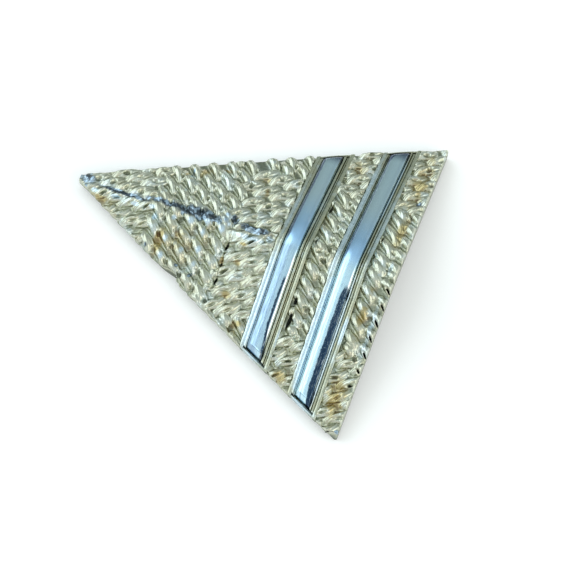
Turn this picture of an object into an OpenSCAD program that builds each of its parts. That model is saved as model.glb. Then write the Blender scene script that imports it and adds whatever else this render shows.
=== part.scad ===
// Mixed metal brooch: a large triangular pin folded along a ridge that runs from its apex to the
// middle of its base. The front is a parquet of twisted rope cast in one with the shell. Two
// polished half-round bars lie across it in channels, and a bar pin is fixed in the hollow back.
// It lies face up on the two long edges of its rim. X runs along the ridge, away from the apex.

/* [Shell] */
// Length of the ridge, from the apex to the middle of the base
ridge_len = 52; // [51:0.5:54]
// Half of the base, measured down the slope
half_base = 26.8; // [26:0.1:27.5]
// Angle that each half slopes down from the ridge, in degrees
fold = 14; // [13.5:0.5:15]
// Height of the rim at the two long edges, from the table to the ground of the relief
rim_h = 2; // [1.9:0.1:2.4]
// Thickness of the folded plate
plate_t = 1.2; // [1.1:0.1:1.3]
// Thickness of the rim
rim_t = 1; // [0.9:0.1:1.2]
// How far the two long edges bow outward in the middle
edge_bow = 0.4; // [0:0.1:0.8]
// Width of the flat that blunts each corner: apex, upper and lower
corner_cut = [0.9, 0.7, 1.3]; // [0.4:0.1:1.6]

// Radius of the small nick in the lower long edge
nick_r = 0.8; // [0.6:0.05:0.9]

/* [Rope relief] */
// Side of one square of the parquet
field_side = 13; // [12.75:0.25:13.25]
// Width of a rope that runs across the ridge
column_w = 2.6; // [2.5:0.05:2.7]
// Width of a rope that runs along the ridge
row_w = 2.75; // [2.65:0.05:2.85]
// Distance from strand to strand along a rope
pitch = 2.6; // [2.5:0.05:2.7]
// The same near the apex, where the ropes are finer
apex_pitch = 2.35; // [2.3:0.05:2.5]
// Length of one strand of a rope, from tip to tip
strand_len = 3.6; // [3:0.1:3.7]
// Width of one strand
strand_w = 1.6; // [1.3:0.05:1.65]
// Height of a strand above the ground of the relief
strand_h = 1.2; // [0.9:0.05:1.4]
// Angle between a strand and its rope, in degrees
lay = 40; // [36:1:44]

/* [Bars] */
// Place of the inner bar's centre line, from the apex along the ridge
inner_bar_u = 36.1; // [35.9:0.05:36.3]
// Place of the outer bar's centre line
outer_bar_u = 45.45; // [45.3:0.05:45.6]
// Width of the whole channel with its two ledges
unit_w = 5.4; // [5.2:0.1:5.6]
// Width of each ledge
ledge_w = 0.65; // [0.5:0.05:0.8]
// Height of each ledge above the ground
ledge_h = 0.85; // [0.6:0.05:1]
// Width of each polished bar
bar_w = 2.8; // [2.4:0.05:2.9]
// Height of each polished bar
bar_h = 1.75; // [1.5:0.05:2]
// How far each bar, inner and outer, lies off the middle of its channel, along the ridge
bar_shift = [-0.15, -0.1]; // [-0.5:0.05:0]
// Thickness of the lip that closes each end of a channel
lip_t = 0.45; // [0.3:0.05:0.6]
// Height of that lip above the ground
lip_h = 0.8; // [0.5:0.05:1]

/* [Bar pin] */
// Distance of the pin's hinge end from the apex
pin_u = 23; // [22.5:0.5:23.5]
// Length of its soldering bar
pin_len = 25; // [24:0.5:25.5]
// Width of its soldering bar
pin_bar_w = 4; // [3:0.1:5]
// Thickness of its soldering bar
pin_bar_t = 0.6; // [0.5:0.05:0.65]
// Diameter of the pin's wire
pin_d = 0.9; // [0.8:0.05:1]
// Distance from the soldering bar down to the middle of the wire
pin_drop = 1.45; // [1.35:0.05:1.5]

/* [Hidden] */
$fn = 48;

// Small gap between pieces, and depth by which the relief is rooted in the plate
gap = 0.05;
root = 0.25;
// Larger than the brooch, for blocks that only cut, and how far a cut reaches past what it cuts
far = 160;
past = 1;
// Bows are drawn with this many straight pieces
bow_steps = 6;
// Share of the lower long edge at which the nick sits, counted from the apex
nick_share = 0.35;

// Tilt of the ridge that brings the three corners to one height above the table
tilt = atan(half_base * sin(fold) / ridge_len);

// A place given along the ridge (u) and down the slope (v), in the plan seen from above
function plan(u, v) = [
    u * cos(tilt) + abs(v) * sin(fold) * sin(tilt),
    v * cos(fold)
];

// Corners of the plan: apex, lower corner, middle of the base and upper corner
apex = plan(0, 0);
lower = plan(ridge_len, -half_base);
base_mid = plan(ridge_len, 0);
upper = plan(ridge_len, half_base);

function unit(v) = v / norm(v);
function left_of(v) = [-v.y, v.x];

// Points of a long edge from one share of it to another, bowed to the right of its direction
function long_edge(a, b, from, to) = [
    for (i = [0 : bow_steps])
        let (t = from + (to - from) * i / bow_steps)
        a + (b - a) * t - left_of(unit(b - a)) * edge_bow * 4 * t * (1 - t)
];

// The plan's outline with sharp corners, counter-clockwise from the step after the apex
first_step = 1 / bow_steps;
sharp = concat(
    long_edge(apex, lower, first_step, 1),
    long_edge(upper, apex, 0, 1)
);

// Share of a long edge that a corner's flat takes away
long_side = norm(upper - apex);
apex_angle = atan(upper.y / upper.x);
apex_share = corner_cut[0] / 2 / sin(apex_angle) / long_side;
upper_share = corner_cut[1] / cos(apex_angle) / long_side;
lower_share = corner_cut[2] / cos(apex_angle) / long_side;

// The same outline with its three corners blunted
outline = concat(
    long_edge(apex, lower, apex_share, 1 - lower_share),
    [
        [lower.x, lower.y + corner_cut[2] * tan(apex_angle)],
        [upper.x, upper.y - corner_cut[1] * tan(apex_angle)]
    ],
    long_edge(upper, apex, upper_share, 1 - apex_share)
);

// Middle of the nick, half its radius outside the bowed edge
nick_bow = edge_bow * 4 * nick_share * (1 - nick_share);
nick_at = apex + (lower - apex) * nick_share - left_of(unit(lower - apex)) * (nick_bow + nick_r / 2);

// The sharp outline moved inward by d, corner by corner
function inset(d) = [
    for (i = [0 : len(sharp) - 1])
        let (
            n = len(sharp),
            before = left_of(unit(sharp[i] - sharp[(i + n - 1) % n])),
            after = left_of(unit(sharp[(i + 1) % n] - sharp[i]))
        )
        sharp[i] + (before + after) * d / (1 + before * after)
];

// The model is moved so that the middle of its plan stands at the origin
plan_x = [for (p = outline) p.x];
plan_y = [for (p = outline) p.y];
middle = [(min(plan_x) + max(plan_x)) / 2, (min(plan_y) + max(plan_y)) / 2];

module to_table() {
    translate(-concat(middle, 0))
        children();
}

// Frame of the ridge: X along it, Z square to it
module on_ridge() {
    translate([0, 0, rim_h])
        rotate([0, -tilt, 0])
            children();
}

// Frame of one slope, side 1 or -1: X along the ridge, Y up the page, Z out of the slope
module on_slope(side) {
    on_ridge()
        rotate([-side * fold, 0, 0])
            children();
}

module prism(pts) {
    translate([0, 0, -far / 2])
        linear_extrude(height = far)
            polygon(pts);
}

// Everything above the two slopes, lowered by depth
module above_slopes(depth) {
    for (side = [-1, 1])
        on_slope(side)
            translate([-far / 2, -far / 2, -depth])
                cube(far);
}

// Children drawn on a slope, kept to their own side of the ridge and inside the outline
module on_both_slopes(pts) {
    for (side = [-1, 1])
        intersection() {
            on_slope(side)
                children();
            translate([-far / 2, side > 0 ? 0 : -far, -far / 2])
                cube(far);
            prism(pts);
        }
}

// A strip across both slopes at place u. Its children give the profile: places along the ridge
// as X and heights as Y
module across(u, pts) {
    on_both_slopes(pts)
        translate([u, 0, 0])
            rotate([90, 0, 0])
                linear_extrude(height = far, center = true)
                    children();
}

// The folded plate with its rim, open at the back
module hollow_shell() {
    inner = inset(rim_t);
    gable_half = max([for (p = inner) p.y]) - rim_t;
    gable_reach = 2 * rim_t;
    difference() {
        linear_extrude(height = far / 2)
            polygon(outline);
        above_slopes(0);
        difference() {
            prism(inner);
            above_slopes(plate_t);
        }
        // A small nick in the lower long edge
        translate(concat(nick_at, -past))
            cylinder(r = nick_r, h = far / 2);
        // Along the base the rim follows the slopes
        difference() {
            translate([base_mid.x - gable_reach, -gable_half, -far / 2])
                cube([2 * gable_reach, 2 * gable_half, far]);
            above_slopes(rim_h * cos(fold) * cos(tilt));
        }
    }
}

// Two ledges beside a channel, and a low lip across each of its ends
module channel(u) {
    across(u, outline)
        for (side = [-1, 1])
            translate([side * (unit_w - ledge_w) / 2 - ledge_w / 2, -root])
                square([ledge_w, root + ledge_h]);
    difference() {
        across(u, outline)
            translate([-unit_w / 2, -root])
                square([unit_w, root + lip_h]);
        prism(inset(lip_t));
    }
}

half_unit = unit_w / 2;
edge_slope = atan(half_base / ridge_len);

// Places along the ridge where the fields of rope begin and end
inner_from = inner_bar_u - half_unit;
inner_to = inner_bar_u + half_unit;
outer_from = outer_bar_u - half_unit;
outer_to = outer_bar_u + half_unit;

// Fields of rope. Columns: side of the ridge, from and to along the ridge, from and to down the
// slope, whether the ropes run along the ridge, pitch, and the place of a strand in the first rope
fields = [
    [1, 0, field_side, 0, 7.5, true, apex_pitch, 1.3],
    [1, field_side, 2 * field_side, 0, field_side, false, pitch, 1.55],
    [1, 2 * field_side, inner_from, 0, field_side, true, pitch, 27],
    [1, 2 * field_side, inner_from, field_side, 18, false, pitch, 14],
    [1, inner_to, outer_from, 0, 11.7, false, pitch, 0.9],
    [1, inner_to, outer_from, 11.7, 22.7, true, pitch, 41.1],
    [1, outer_to, ridge_len, 0, 11.8, false, pitch, 1.9],
    [1, outer_to, ridge_len, 11.8, 28.3, true, pitch, 50.3],
    [-1, 0, field_side, 0, 7.9, true, apex_pitch, 0.45],
    [-1, field_side, 2 * field_side, 0, field_side, false, pitch, -1.05],
    [-1, 2 * field_side, inner_from, 0, 13.3, true, pitch, 27.1],
    [-1, 2 * field_side, inner_from, 13.3, 18, false, pitch, -14.2],
    [-1, inner_to, outer_from, 0, 13.2, false, pitch, -0.3],
    [-1, inner_to, outer_from, 13.2, 24.2, true, pitch, 41.2],
    [-1, outer_to, ridge_len, 0, 13.4, false, pitch, -1.2],
    [-1, outer_to, ridge_len, 13.4, 27.3, true, pitch, 50]
];

// Room kept free of strands' tips at a field's limits, at the ridge and at the long edges
field_room = 0.3;
ridge_room = 0.15;
edge_room = 0.3;
// Share of a strand's length below which it is left out
least_share = 0.45;
// Nearest that the middle of a rope along the ridge comes to the ridge
least_middle = 0.9;

// Share t of a strand's axis at which it meets the limit n * place <= k
function meets(c, d, n, k) = (k - n * c) / (n * d);

// Limits of a field, each as the normal and distance of a line
function limits(field) =
    let (side = field[0])
    [
        [[-1, 0], -field[1] - field_room],
        [[1, 0], field[2] - field_room],
        [[0, -side], -field[3] - (field[3] == 0 ? ridge_room : field_room)],
        [[0, side], field[4] - field_room],
        [[-sin(edge_slope), side * cos(edge_slope)], -edge_room]
    ];

// A strand cut back to its field: its middle, direction and length
function trimmed(c, d, lims) =
    let (
        ends = [for (l = lims) if (l[0] * d > 0) meets(c, d, l[0], l[1])],
        starts = [for (l = lims) if (l[0] * d < 0) meets(c, d, l[0], l[1])],
        to = min(concat(ends, [strand_len / 2])),
        from = max(concat(starts, [-strand_len / 2]))
    )
    [c + d * (from + to) / 2, d, to - from];

// Middles of the ropes of a field. Ropes across the ridge are counted from the apex side, and
// ropes along it from the outer side, with the last one squeezed in beside the ridge.
function rope_middles(field) =
    field[5]
        ? [for (v = [field[4] - row_w / 2 : -row_w : field[3] - row_w / 2]) max(v, least_middle)]
        : [for (u = [field[1] + column_w / 2 : column_w : field[2] + column_w / 4]) u];

// All strands of one field. Every second rope is half a pitch further on.
function strands(field) =
    let (
        side = field[0],
        along = field[5],
        turn = along ? lay : lay - 90,
        d = [cos(turn), sin(turn)],
        lims = limits(field),
        middles = rope_middles(field),
        reach = along ? [field[1], field[2]] : side > 0 ? [0, field[4]] : [-field[4], 0]
    )
    [
        for (rope = [0 : len(middles) - 1])
            let (
                first = field[7] + (rope % 2) * field[6] / 2,
                before = floor((reach[0] - first) / field[6])
            )
            for (step = [before : before + ceil((reach[1] - reach[0]) / field[6]) + 1])
                let (
                    ahead = first + step * field[6],
                    place = along ? [ahead, side * middles[rope]] : [middles[rope], ahead],
                    strand = trimmed(place, d, lims)
                )
                if (strand[2] > strand_len * least_share) strand
    ];

// One strand: a plump spindle with a flat foot, rooted in the plate
module spindle(length, width, height) {
    // Section across the strand, as shares of its half width and height
    half_section = [[-1, 0], [-0.72, 0.64], [0, 1], [0.72, 0.64], [1, 0]];
    // Sections along it: place as a share of its half length, and scale
    stations = [[-0.7, 0.78], [0, 1], [0.7, 0.78]];
    points = concat(
        [[-length / 2, 0, -root]],
        [
            for (s = stations, p = half_section)
                [s[0] * length / 2, p[0] * width / 2 * s[1], -root + p[1] * (root + height * s[1])]
        ],
        [[length / 2, 0, -root]]
    );
    n = len(half_section);
    last = len(points) - 1;
    faces = concat(
        [for (i = [0 : n - 1]) [0, 1 + (i + 1) % n, 1 + i]],
        [
            for (s = [0 : len(stations) - 2], i = [0 : n - 1])
                let (a = 1 + s * n + i, b = 1 + s * n + (i + 1) % n)
                each [[a, b, a + n], [b, b + n, a + n]]
        ],
        [for (i = [0 : n - 1]) [last, last - n + i, last - n + (i + 1) % n]]
    );
    polyhedron(points = points, faces = faces);
}

module rope_relief() {
    for (field = fields)
        on_slope(field[0])
            for (strand = strands(field))
                translate([strand[0].x, strand[0].y, 0])
                    rotate([0, 0, atan2(strand[1].y, strand[1].x)])
                        spindle(strand[2], strand_w, strand_h);
}

// Half-round profile of a polished bar, standing on its channel's floor
module bar_profile() {
    r = bar_w / 2;
    translate([0, gap])
        union() {
            translate([-r, 0])
                square([bar_w, bar_h - r]);
            intersection() {
                translate([0, bar_h - r])
                    circle(r);
                translate([-r, 0])
                    square([bar_w, bar_h + r]);
            }
        }
}

module polished_bar(u) {
    across(u, inset(lip_t + gap))
        bar_profile();
}

// Height of the plate's underside beside the ridge, less the gap
function underside(y) = -(plate_t + gap) / cos(fold) - abs(y) * tan(fold);

module cast_shell() {
    color("#c9c294")
        to_table()
            union() {
                hollow_shell();
                channel(inner_bar_u);
                channel(outer_bar_u);
                rope_relief();
            }
}

module inner_bar() {
    color("#b7c7dc")
        to_table()
            polished_bar(inner_bar_u + bar_shift[0]);
}

module outer_bar() {
    color("#b7c7dc")
        to_table()
            polished_bar(outer_bar_u + bar_shift[1]);
}

// Bar pin: soldering bar, knuckle, wire with a point, and a hook that is open to one side
module bar_pin() {
    half = pin_bar_w / 2;
    bar_low = underside(half) - pin_bar_t;
    wire_z = bar_low - pin_drop;
    knuckle_r = 1.15;
    knuckle_w = 3;
    knuckle_sink = 0.2;
    point_len = 2;
    point_d = 0.2;
    hook_w = 2.2;
    hook_r = 1.3;
    hook_hole_r = 0.75;
    hook_mouth = 1.2;
    hook_margin = 0.6;
    hook_from = pin_len - hook_w - hook_margin;
    neck = bar_low - wire_z;
    color("#b9b08a")
        to_table()
            on_ridge()
                translate([pin_u, 0, 0]) {
                    rotate([90, 0, 90])
                        linear_extrude(height = pin_len)
                            polygon([
                                [-half, bar_low],
                                [half, bar_low],
                                [half, underside(half)],
                                [0, underside(0)],
                                [-half, underside(half)]
                            ]);
                    translate([knuckle_r, 0, bar_low - knuckle_r + knuckle_sink])
                        rotate([90, 0, 0])
                            cylinder(r = knuckle_r, h = knuckle_w, center = true);
                    translate([knuckle_r, 0, wire_z])
                        rotate([0, 90, 0])
                            cylinder(d = pin_d, h = pin_len - knuckle_r - point_len / 2);
                    translate([pin_len - point_len / 2, 0, wire_z])
                        rotate([0, 90, 0])
                            cylinder(d1 = pin_d, d2 = point_d, h = point_len);
                    translate([hook_from, 0, wire_z])
                        difference() {
                            union() {
                                rotate([0, 90, 0])
                                    cylinder(r = hook_r, h = hook_w);
                                translate([0, -hook_r, 0])
                                    cube([hook_w, 2 * hook_r, neck + knuckle_sink / 2]);
                            }
                            translate([-past, 0, 0])
                                rotate([0, 90, 0])
                                    cylinder(r = hook_hole_r, h = hook_w + 2 * past);
                            translate([-past, 0, -hook_mouth / 2])
                                cube([hook_w + 2 * past, 2 * hook_r, hook_mouth]);
                        }
                }
}

cast_shell();
inner_bar();
outer_bar();
bar_pin();
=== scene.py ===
import math

import bmesh
import bpy
import numpy as np
from bpy.props import FloatProperty, FloatVectorProperty, IntProperty, PointerProperty
from mathutils import Matrix, Vector


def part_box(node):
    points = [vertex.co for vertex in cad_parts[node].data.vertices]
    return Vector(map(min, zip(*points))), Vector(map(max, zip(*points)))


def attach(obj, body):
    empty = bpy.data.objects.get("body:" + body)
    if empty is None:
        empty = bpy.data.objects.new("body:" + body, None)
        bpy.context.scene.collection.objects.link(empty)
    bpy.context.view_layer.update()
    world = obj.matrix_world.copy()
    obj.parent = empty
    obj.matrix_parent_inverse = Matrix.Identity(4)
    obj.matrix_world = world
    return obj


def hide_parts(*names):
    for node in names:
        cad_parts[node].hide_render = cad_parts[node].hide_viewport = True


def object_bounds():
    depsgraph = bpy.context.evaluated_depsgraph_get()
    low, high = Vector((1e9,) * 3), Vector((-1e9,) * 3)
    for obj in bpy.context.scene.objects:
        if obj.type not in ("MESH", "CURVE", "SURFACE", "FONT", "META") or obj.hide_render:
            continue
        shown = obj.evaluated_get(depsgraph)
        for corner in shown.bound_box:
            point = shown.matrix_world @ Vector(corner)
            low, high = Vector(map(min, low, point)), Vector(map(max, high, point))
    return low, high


bl_info = {
    "name": "Mixed Metal Brooch",
    "version": (1, 0, 0),
    "blender": (4, 5, 0),
    "location": "View3D > Sidebar > Brooch",
    "description": "Builds the finished surfaces of a triangular brooch around its packed model",
    "category": "Object",
}

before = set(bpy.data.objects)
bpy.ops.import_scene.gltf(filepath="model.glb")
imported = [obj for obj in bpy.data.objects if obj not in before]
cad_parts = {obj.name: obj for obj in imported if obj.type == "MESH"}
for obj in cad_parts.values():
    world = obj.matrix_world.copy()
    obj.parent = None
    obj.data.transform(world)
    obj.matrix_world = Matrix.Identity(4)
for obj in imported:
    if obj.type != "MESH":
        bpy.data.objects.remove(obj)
CAD_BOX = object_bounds()
MM = 0.001


def size(name, description, millimetres):
    return FloatProperty(
        name=name, description=description, default=millimetres * MM, unit="LENGTH")


def slant(name, description, degrees):
    return FloatProperty(
        name=name, description=description, default=math.radians(degrees), subtype="ANGLE",
        unit="ROTATION")


def tint(name, description, default):
    return FloatVectorProperty(
        name=name, description=description, default=default, subtype="COLOR", size=3)


class ShellSizes(bpy.types.PropertyGroup):
    """Sizes of the folded plate, its rim, its ledges and its lips."""

    ridge_len: size("Ridge length", "From the apex to the middle of the base", 52)
    half_base: size("Half base", "Half of the base, measured down the slope", 26.8)
    fold: slant("Fold", "Angle that each half slopes down from the ridge", 14)
    fold_reach: size("Fold reach", "Distance from the ridge over which the fold is rounded", 1.2)
    rim_h: size("Rim height", "From the table to the ground of the relief", 2)
    plate_t: size("Plate thickness", "Thickness of the folded plate", 1.2)
    rim_t: size("Rim thickness", "Thickness of the rim", 1)
    rim_tuck: size("Rim tuck", "How far the rim's foot is drawn in under its outline", 0.7)
    edge_bow: size("Edge bow", "How far the two long edges bow outward", 0.4)
    apex_cut: size("Apex cut", "Width of the flat that blunts the apex", 0.9)
    upper_cut: size("Upper cut", "Depth along the ridge of the upper corner's flat", 0.7)
    lower_cut: size("Lower cut", "Depth along the ridge of the lower corner's flat", 2)
    nick_r: size("Nick radius", "Radius of the nick in the lower long edge", 0.8)
    nick_share: FloatProperty(
        name="Nick share", description="Place of the nick along the lower long edge",
        default=0.35)
    ledge_w: size("Ledge width", "Width of each ledge beside a bar", 0.65)
    ledge_h: size("Ledge height", "Height of each ledge above the ground", 0.85)
    lip_t: size("Lip thickness", "Thickness of the lip at a channel's end", 0.45)
    lip_h: size("Lip height", "Height of that lip above the ground", 0.8)


class RopeSizes(bpy.types.PropertyGroup):
    """Sizes of the rope strands that fill the front."""

    column_w: size("Column width", "Width of a rope that runs across the ridge", 2.6)
    row_w: size("Row width", "Width of a rope that runs along the ridge", 2.75)
    strand_len: size("Strand length", "Length of one strand from tip to tip", 3.9)
    strand_w: size("Strand width", "Width of one strand in its middle", 1.3)
    lobes: IntProperty(
        name="Lobes", description="Number of fine ribs that run along a strand", default=8)
    lobe_h: FloatProperty(
        name="Lobe height", description="Height of those ribs as a share of the strand's radius",
        default=0.09)
    bed: size("Bed", "Level up to which the casting fills the ground between strands", 0.24)
    strand_h: size("Strand height", "Height of a strand's crown above the ground", 1.2)
    twin_w: size("Twin width", "Width of the thin wire that loops beside each strand", 0.34)
    twin_off: size("Twin offset", "From a strand's middle to the crown of its loop", 0.95)
    twin_h: size("Twin height", "Height of the wire's crown above the ground", 0.82)
    dip: size("Dip", "How far a strand's tips lie below its middle", 0.6)
    sway: size("Sway", "How far a strand swings to either side, like a flat S", 0.1)
    lay: slant("Lay", "Angle between a strand and its rope", 38)
    unevenness: FloatProperty(
        name="Unevenness", description="How much strands differ in size", default=0.1)
    seed: IntProperty(name="Seed", description="Seed of that difference", default=7)
    grid: size("Grid", "Distance between points of the cast skin", 0.085)
    fill: FloatProperty(
        name="Fill", description="Share by which the casting fills the valleys", default=0.45)


class BarSizes(bpy.types.PropertyGroup):
    """Sizes of the two polished bars."""

    inner_u: size("Inner bar", "Place of the inner bar along the ridge", 36.1)
    outer_u: size("Outer bar", "Place of the outer bar along the ridge", 45.45)
    unit_w: size("Channel width", "Width of a channel with its two ledges", 5.4)
    bar_w: size("Bar width", "Width of each polished bar", 2.8)
    inner_shift: size("Inner shift", "How far the inner bar lies off its channel's middle", -0.15)
    outer_shift: size("Outer shift", "How far the outer bar lies off its channel's middle", -0.1)
    bar_h: size("Bar height", "Height of each polished bar", 1.75)
    dome: FloatProperty(
        name="Dome", description="2 for a half-round bar, more for a flatter crown", default=2.5)
    far_dome: FloatProperty(
        name="Far dome", description="The same for the side towards the base", default=6)
    bend_reach: size("Bend reach", "Distance from the ridge over which a bar is bent", 3)
    gap: size("Gap", "Gap between a bar and the shell", 0.05)


class Finishes(bpy.types.PropertyGroup):
    """Colours of the metals, with the light and shade that are painted on them."""

    # Crest and gold tone: the crests' paler colour is a painted highlight, the sides' darker gold a
    # painted shade
    crest: tint("Crest", "Pale gold plate on top of the strands", (0.54, 0.56, 0.46))
    gold: tint("Gold tone", "Gold plate on the strands' sides", (0.42, 0.44, 0.33))
    # Painted shade: the olive that darkens the valleys between strands; brown, next, is tarnish there
    # darkened by the same painted shade
    recess_shade: tint("Recess", "Dull olive of the valleys between strands", (0.14, 0.16, 0.115))
    old_gold: tint("Old gold", "Darker gold where tarnish has gathered", (0.43, 0.37, 0.19))
    brown: tint("Brown", "Tarnish in the valleys of those places", (0.15, 0.1, 0.05))
    slate: tint("Slate", "Blue grey of the casting where the gold has worn off", (0.34, 0.45, 0.54))
    # Painted reflection: the bright bluish sky painted on polished metal
    ice: tint("Ice", "Bright bluish metal where the wear has polished it", (0.6, 0.72, 0.78))
    # Painted shade: near black at the bottom of the deepest gaps
    dark: tint("Dark", "Blackened bottom of the deepest gaps", (0.015, 0.018, 0.015))
    # Painted shade at each bar's upper end, also used for its dark lines and streaks
    bar_end: tint("Bar end", "Tarnished upper end of each bar", (0.05, 0.07, 0.13))
    # Painted reflections on each bar: darker on the upper half, bluer at the bend, bright on the lower
    # half
    bar_high: tint("Bar upper half", "Each bar's upper half, towards its end", (0.52, 0.68, 0.76))
    bar_bend: tint("Bar bend", "Each bar's upper half, towards the ridge", (0.4, 0.64, 0.92))
    bar_low: tint("Bar lower half", "Each bar's lower half", (0.64, 0.88, 0.97))
    # Painted reflection of something dark, as a ragged stripe on each bar's lower half
    navy: tint("Navy", "Dark ragged line along each bar's lower half", (0.02, 0.045, 0.085))
    steel: tint("Pin steel", "Plated steel of the bar pin", (0.6, 0.56, 0.42))


class StageSettings(bpy.types.PropertyGroup):
    """Camera, light and floor."""

    target: FloatVectorProperty(
        name="Target", description="Point that the camera looks at",
        default=(10.77 * MM, -5.16 * MM, 1.17 * MM), subtype="TRANSLATION", size=3)
    azimuth: slant("Azimuth", "Turn of the camera round the object", 12.3)
    elevation: slant("Elevation", "Height of the camera above the horizon", 66.23)
    roll: slant("Roll", "Turn of the picture about the line of sight", 8.79)
    distance: size("Distance", "From the camera to its target", 493.2)
    lens: FloatProperty(
        name="Lens", description="Focal length on a sensor 36 mm wide", default=200.2)
    floor_side: size("Floor side", "Side of the square floor", 2000)
    floor_color: tint("Floor", "Pale floor", (0.93, 0.92, 0.91))
    sky_low: tint("Low sky", "Room light from the dim side", (0.4, 0.46, 0.44))
    sky_side: tint("Side sky", "Room light from the sides", (0.66, 0.75, 0.76))
    sky_high: tint("High sky", "Room light from above", (0.74, 0.84, 0.88))
    sky_bright: tint("Bright sky", "Room light from the bright side", (0.9, 0.9, 0.88))


SETTINGS = (
    ("brooch_shell", ShellSizes),
    ("brooch_ropes", RopeSizes),
    ("brooch_bars", BarSizes),
    ("brooch_finishes", Finishes),
    ("brooch_stage", StageSettings),
)


# Node trees

class Value:
    """An output socket. Sums, differences and products with it add their own Math nodes."""

    def __init__(self, graph, socket):
        self.graph = graph
        self.socket = socket

    def __add__(self, other):
        return self.graph.math("ADD", self, other)

    def __radd__(self, other):
        return self.graph.math("ADD", other, self)

    def __sub__(self, other):
        return self.graph.math("SUBTRACT", self, other)

    def __rsub__(self, other):
        return self.graph.math("SUBTRACT", other, self)

    def __mul__(self, other):
        return self.graph.math("MULTIPLY", self, other)

    def __rmul__(self, other):
        return self.graph.math("MULTIPLY", other, self)


class Graph:
    """A node tree that is filled by expressions."""

    def __init__(self, tree):
        self.tree = tree

    def add(self, kind, settings=None, sockets=None, output=0):
        """Adds a node: its settings first, then the values or links of its sockets."""
        node = self.tree.nodes.new(kind)
        for name, value in (settings or {}).items():
            setattr(node, name, value)
        self.fill(node, sockets or {})
        return Value(self, node.outputs[output]) if len(node.outputs) else node

    def fill(self, node, sockets):
        """Links or sets sockets of a node."""
        for name, value in sockets.items():
            if isinstance(value, Value):
                self.tree.links.new(value.socket, node.inputs[name])
            else:
                node.inputs[name].default_value = value

    def math(self, operation, *numbers):
        return self.add("ShaderNodeMath", {"operation": operation}, dict(enumerate(numbers)))

    def other(self, value, output):
        """Another output of the node that a value comes from."""
        return Value(self, value.socket.node.outputs[output])

    def ramp(self, value, low, high, start=0.0, end=1.0):
        """Smooth step from start at low to end at high."""
        return self.add(
            "ShaderNodeMapRange", {"interpolation_type": "SMOOTHSTEP"},
            {"Value": value, "From Min": low, "From Max": high, "To Min": start, "To Max": end})

    def line(self, offset, half, edge):
        """1 up to half a line's width from its middle, and 0 past its soft edge."""
        return self.ramp(self.math("ABSOLUTE", offset), half, edge, 1.0, 0.0)

    def blend(self, share, first, second):
        """Colour between two colours."""
        return self.add(
            "ShaderNodeMix", {"data_type": "RGBA"},
            {0: share, 6: as_color(first), 7: as_color(second)}, output=2)

    def noise(self, where, scale, detail=3, roughness=0.5):
        return self.add(
            "ShaderNodeTexNoise", {},
            {"Vector": where, "Scale": scale, "Detail": detail, "Roughness": roughness})

    def bump(self, strength, depth, height):
        """Normals of a height that is depth deep, in millimetres."""
        return self.add(
            "ShaderNodeBump", {},
            {"Strength": strength, "Distance": depth * MM, "Height": height})

    def attribute(self, name):
        return self.add("ShaderNodeAttribute", {"attribute_name": name}, output="Fac")

    def place(self):
        """Place on the object."""
        return self.add("ShaderNodeTexCoord", output="Object")


def as_color(value):
    return value if isinstance(value, Value) else (*value[:3], 1)


def between(first, second, share):
    """Colour that lies a share of the way from one to another."""
    return [(1 - share) * a + share * b for a, b in zip(first, second)]


def dimmed(color, share):
    return [share * c for c in color]


def new_finish(name):
    """A material with a Principled shader: its graph and the shader's node."""
    material = bpy.data.materials.new(name)
    material.use_nodes = True
    return material, Graph(material.node_tree), material.node_tree.nodes["Principled BSDF"]


# Finishes

# Scales of the casting's noises, per metre
PATCHES, SPOTS, GRAINS = 450, 1100, 2600


def gold_finish(colors):
    """Cast gold tone. Its attributes say where it is worn and tarnished, where polished metal
    gets a painted bright reflection, and where painted shade darkens low places and gaps.
    """
    material, graph, shader = new_finish("cast gold tone")
    wear, ice, valley, gap, amber = (
        graph.attribute(name) for name in ("wear", "ice", "valley", "gap", "amber"))
    where = graph.place()
    patchy = graph.noise(where, PATCHES)
    spotty = graph.noise(where, SPOTS)
    fine = graph.noise(where, GRAINS, roughness=0.6)
    low = valley + 0.3 * fine
    # Painted highlight and shade: paler crests, darker gold down the sides
    metal = graph.blend(graph.ramp(low, 0.1, 0.5), colors.crest, colors.gold)
    warm = between(colors.crest, colors.old_gold, 0.5)
    metal = graph.blend(graph.ramp(patchy, 0.5, 0.66) * 0.45, metal, warm)
    cool = between(colors.crest, colors.ice, 0.5)
    metal = graph.blend(graph.ramp(patchy, 0.46, 0.34) * 0.7, metal, cool)
    aged = graph.ramp(amber + 0.9 * (spotty - 0.5), 0.25, 0.75)
    metal = graph.blend(aged, metal, colors.old_gold)
    slate = graph.blend(graph.ramp(spotty, 0.46, 0.6), dimmed(colors.slate, 0.15), colors.slate)
    metal = graph.blend(graph.ramp(wear + 0.7 * spotty, 0.75, 1.05), metal, slate)
    # Painted reflection: bright bluish metal where the sky is mirrored on polished spots
    metal = graph.blend(graph.ramp(ice + 0.3 * spotty, 0.45, 0.85), metal, colors.ice)
    # Painted shade: low places darken to the olive of the valleys, brown where tarnished
    shade_and_dull = graph.ramp(low, 0.45, 0.85)
    stained = graph.ramp(amber + 0.3 * spotty, 0.25, 0.7)
    bottom = graph.blend(stained, colors.recess_shade, colors.brown)
    metal = graph.blend(shade_and_dull * 0.93, metal, bottom)
    # Painted shade, near black, at the bottom of the gaps
    metal = graph.blend(graph.ramp(gap + 0.7 * spotty, 0.72, 0.95), metal, colors.dark)
    grain = patchy + 0.6 * spotty + 0.5 * fine
    graph.fill(shader, {
        "Base Color": metal, "Metallic": 1.0, "Roughness": 0.2 + 0.16 * fine + 0.25 * shade_and_dull,
        "Normal": graph.bump(0.7, 0.12, grain)})
    return material


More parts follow.
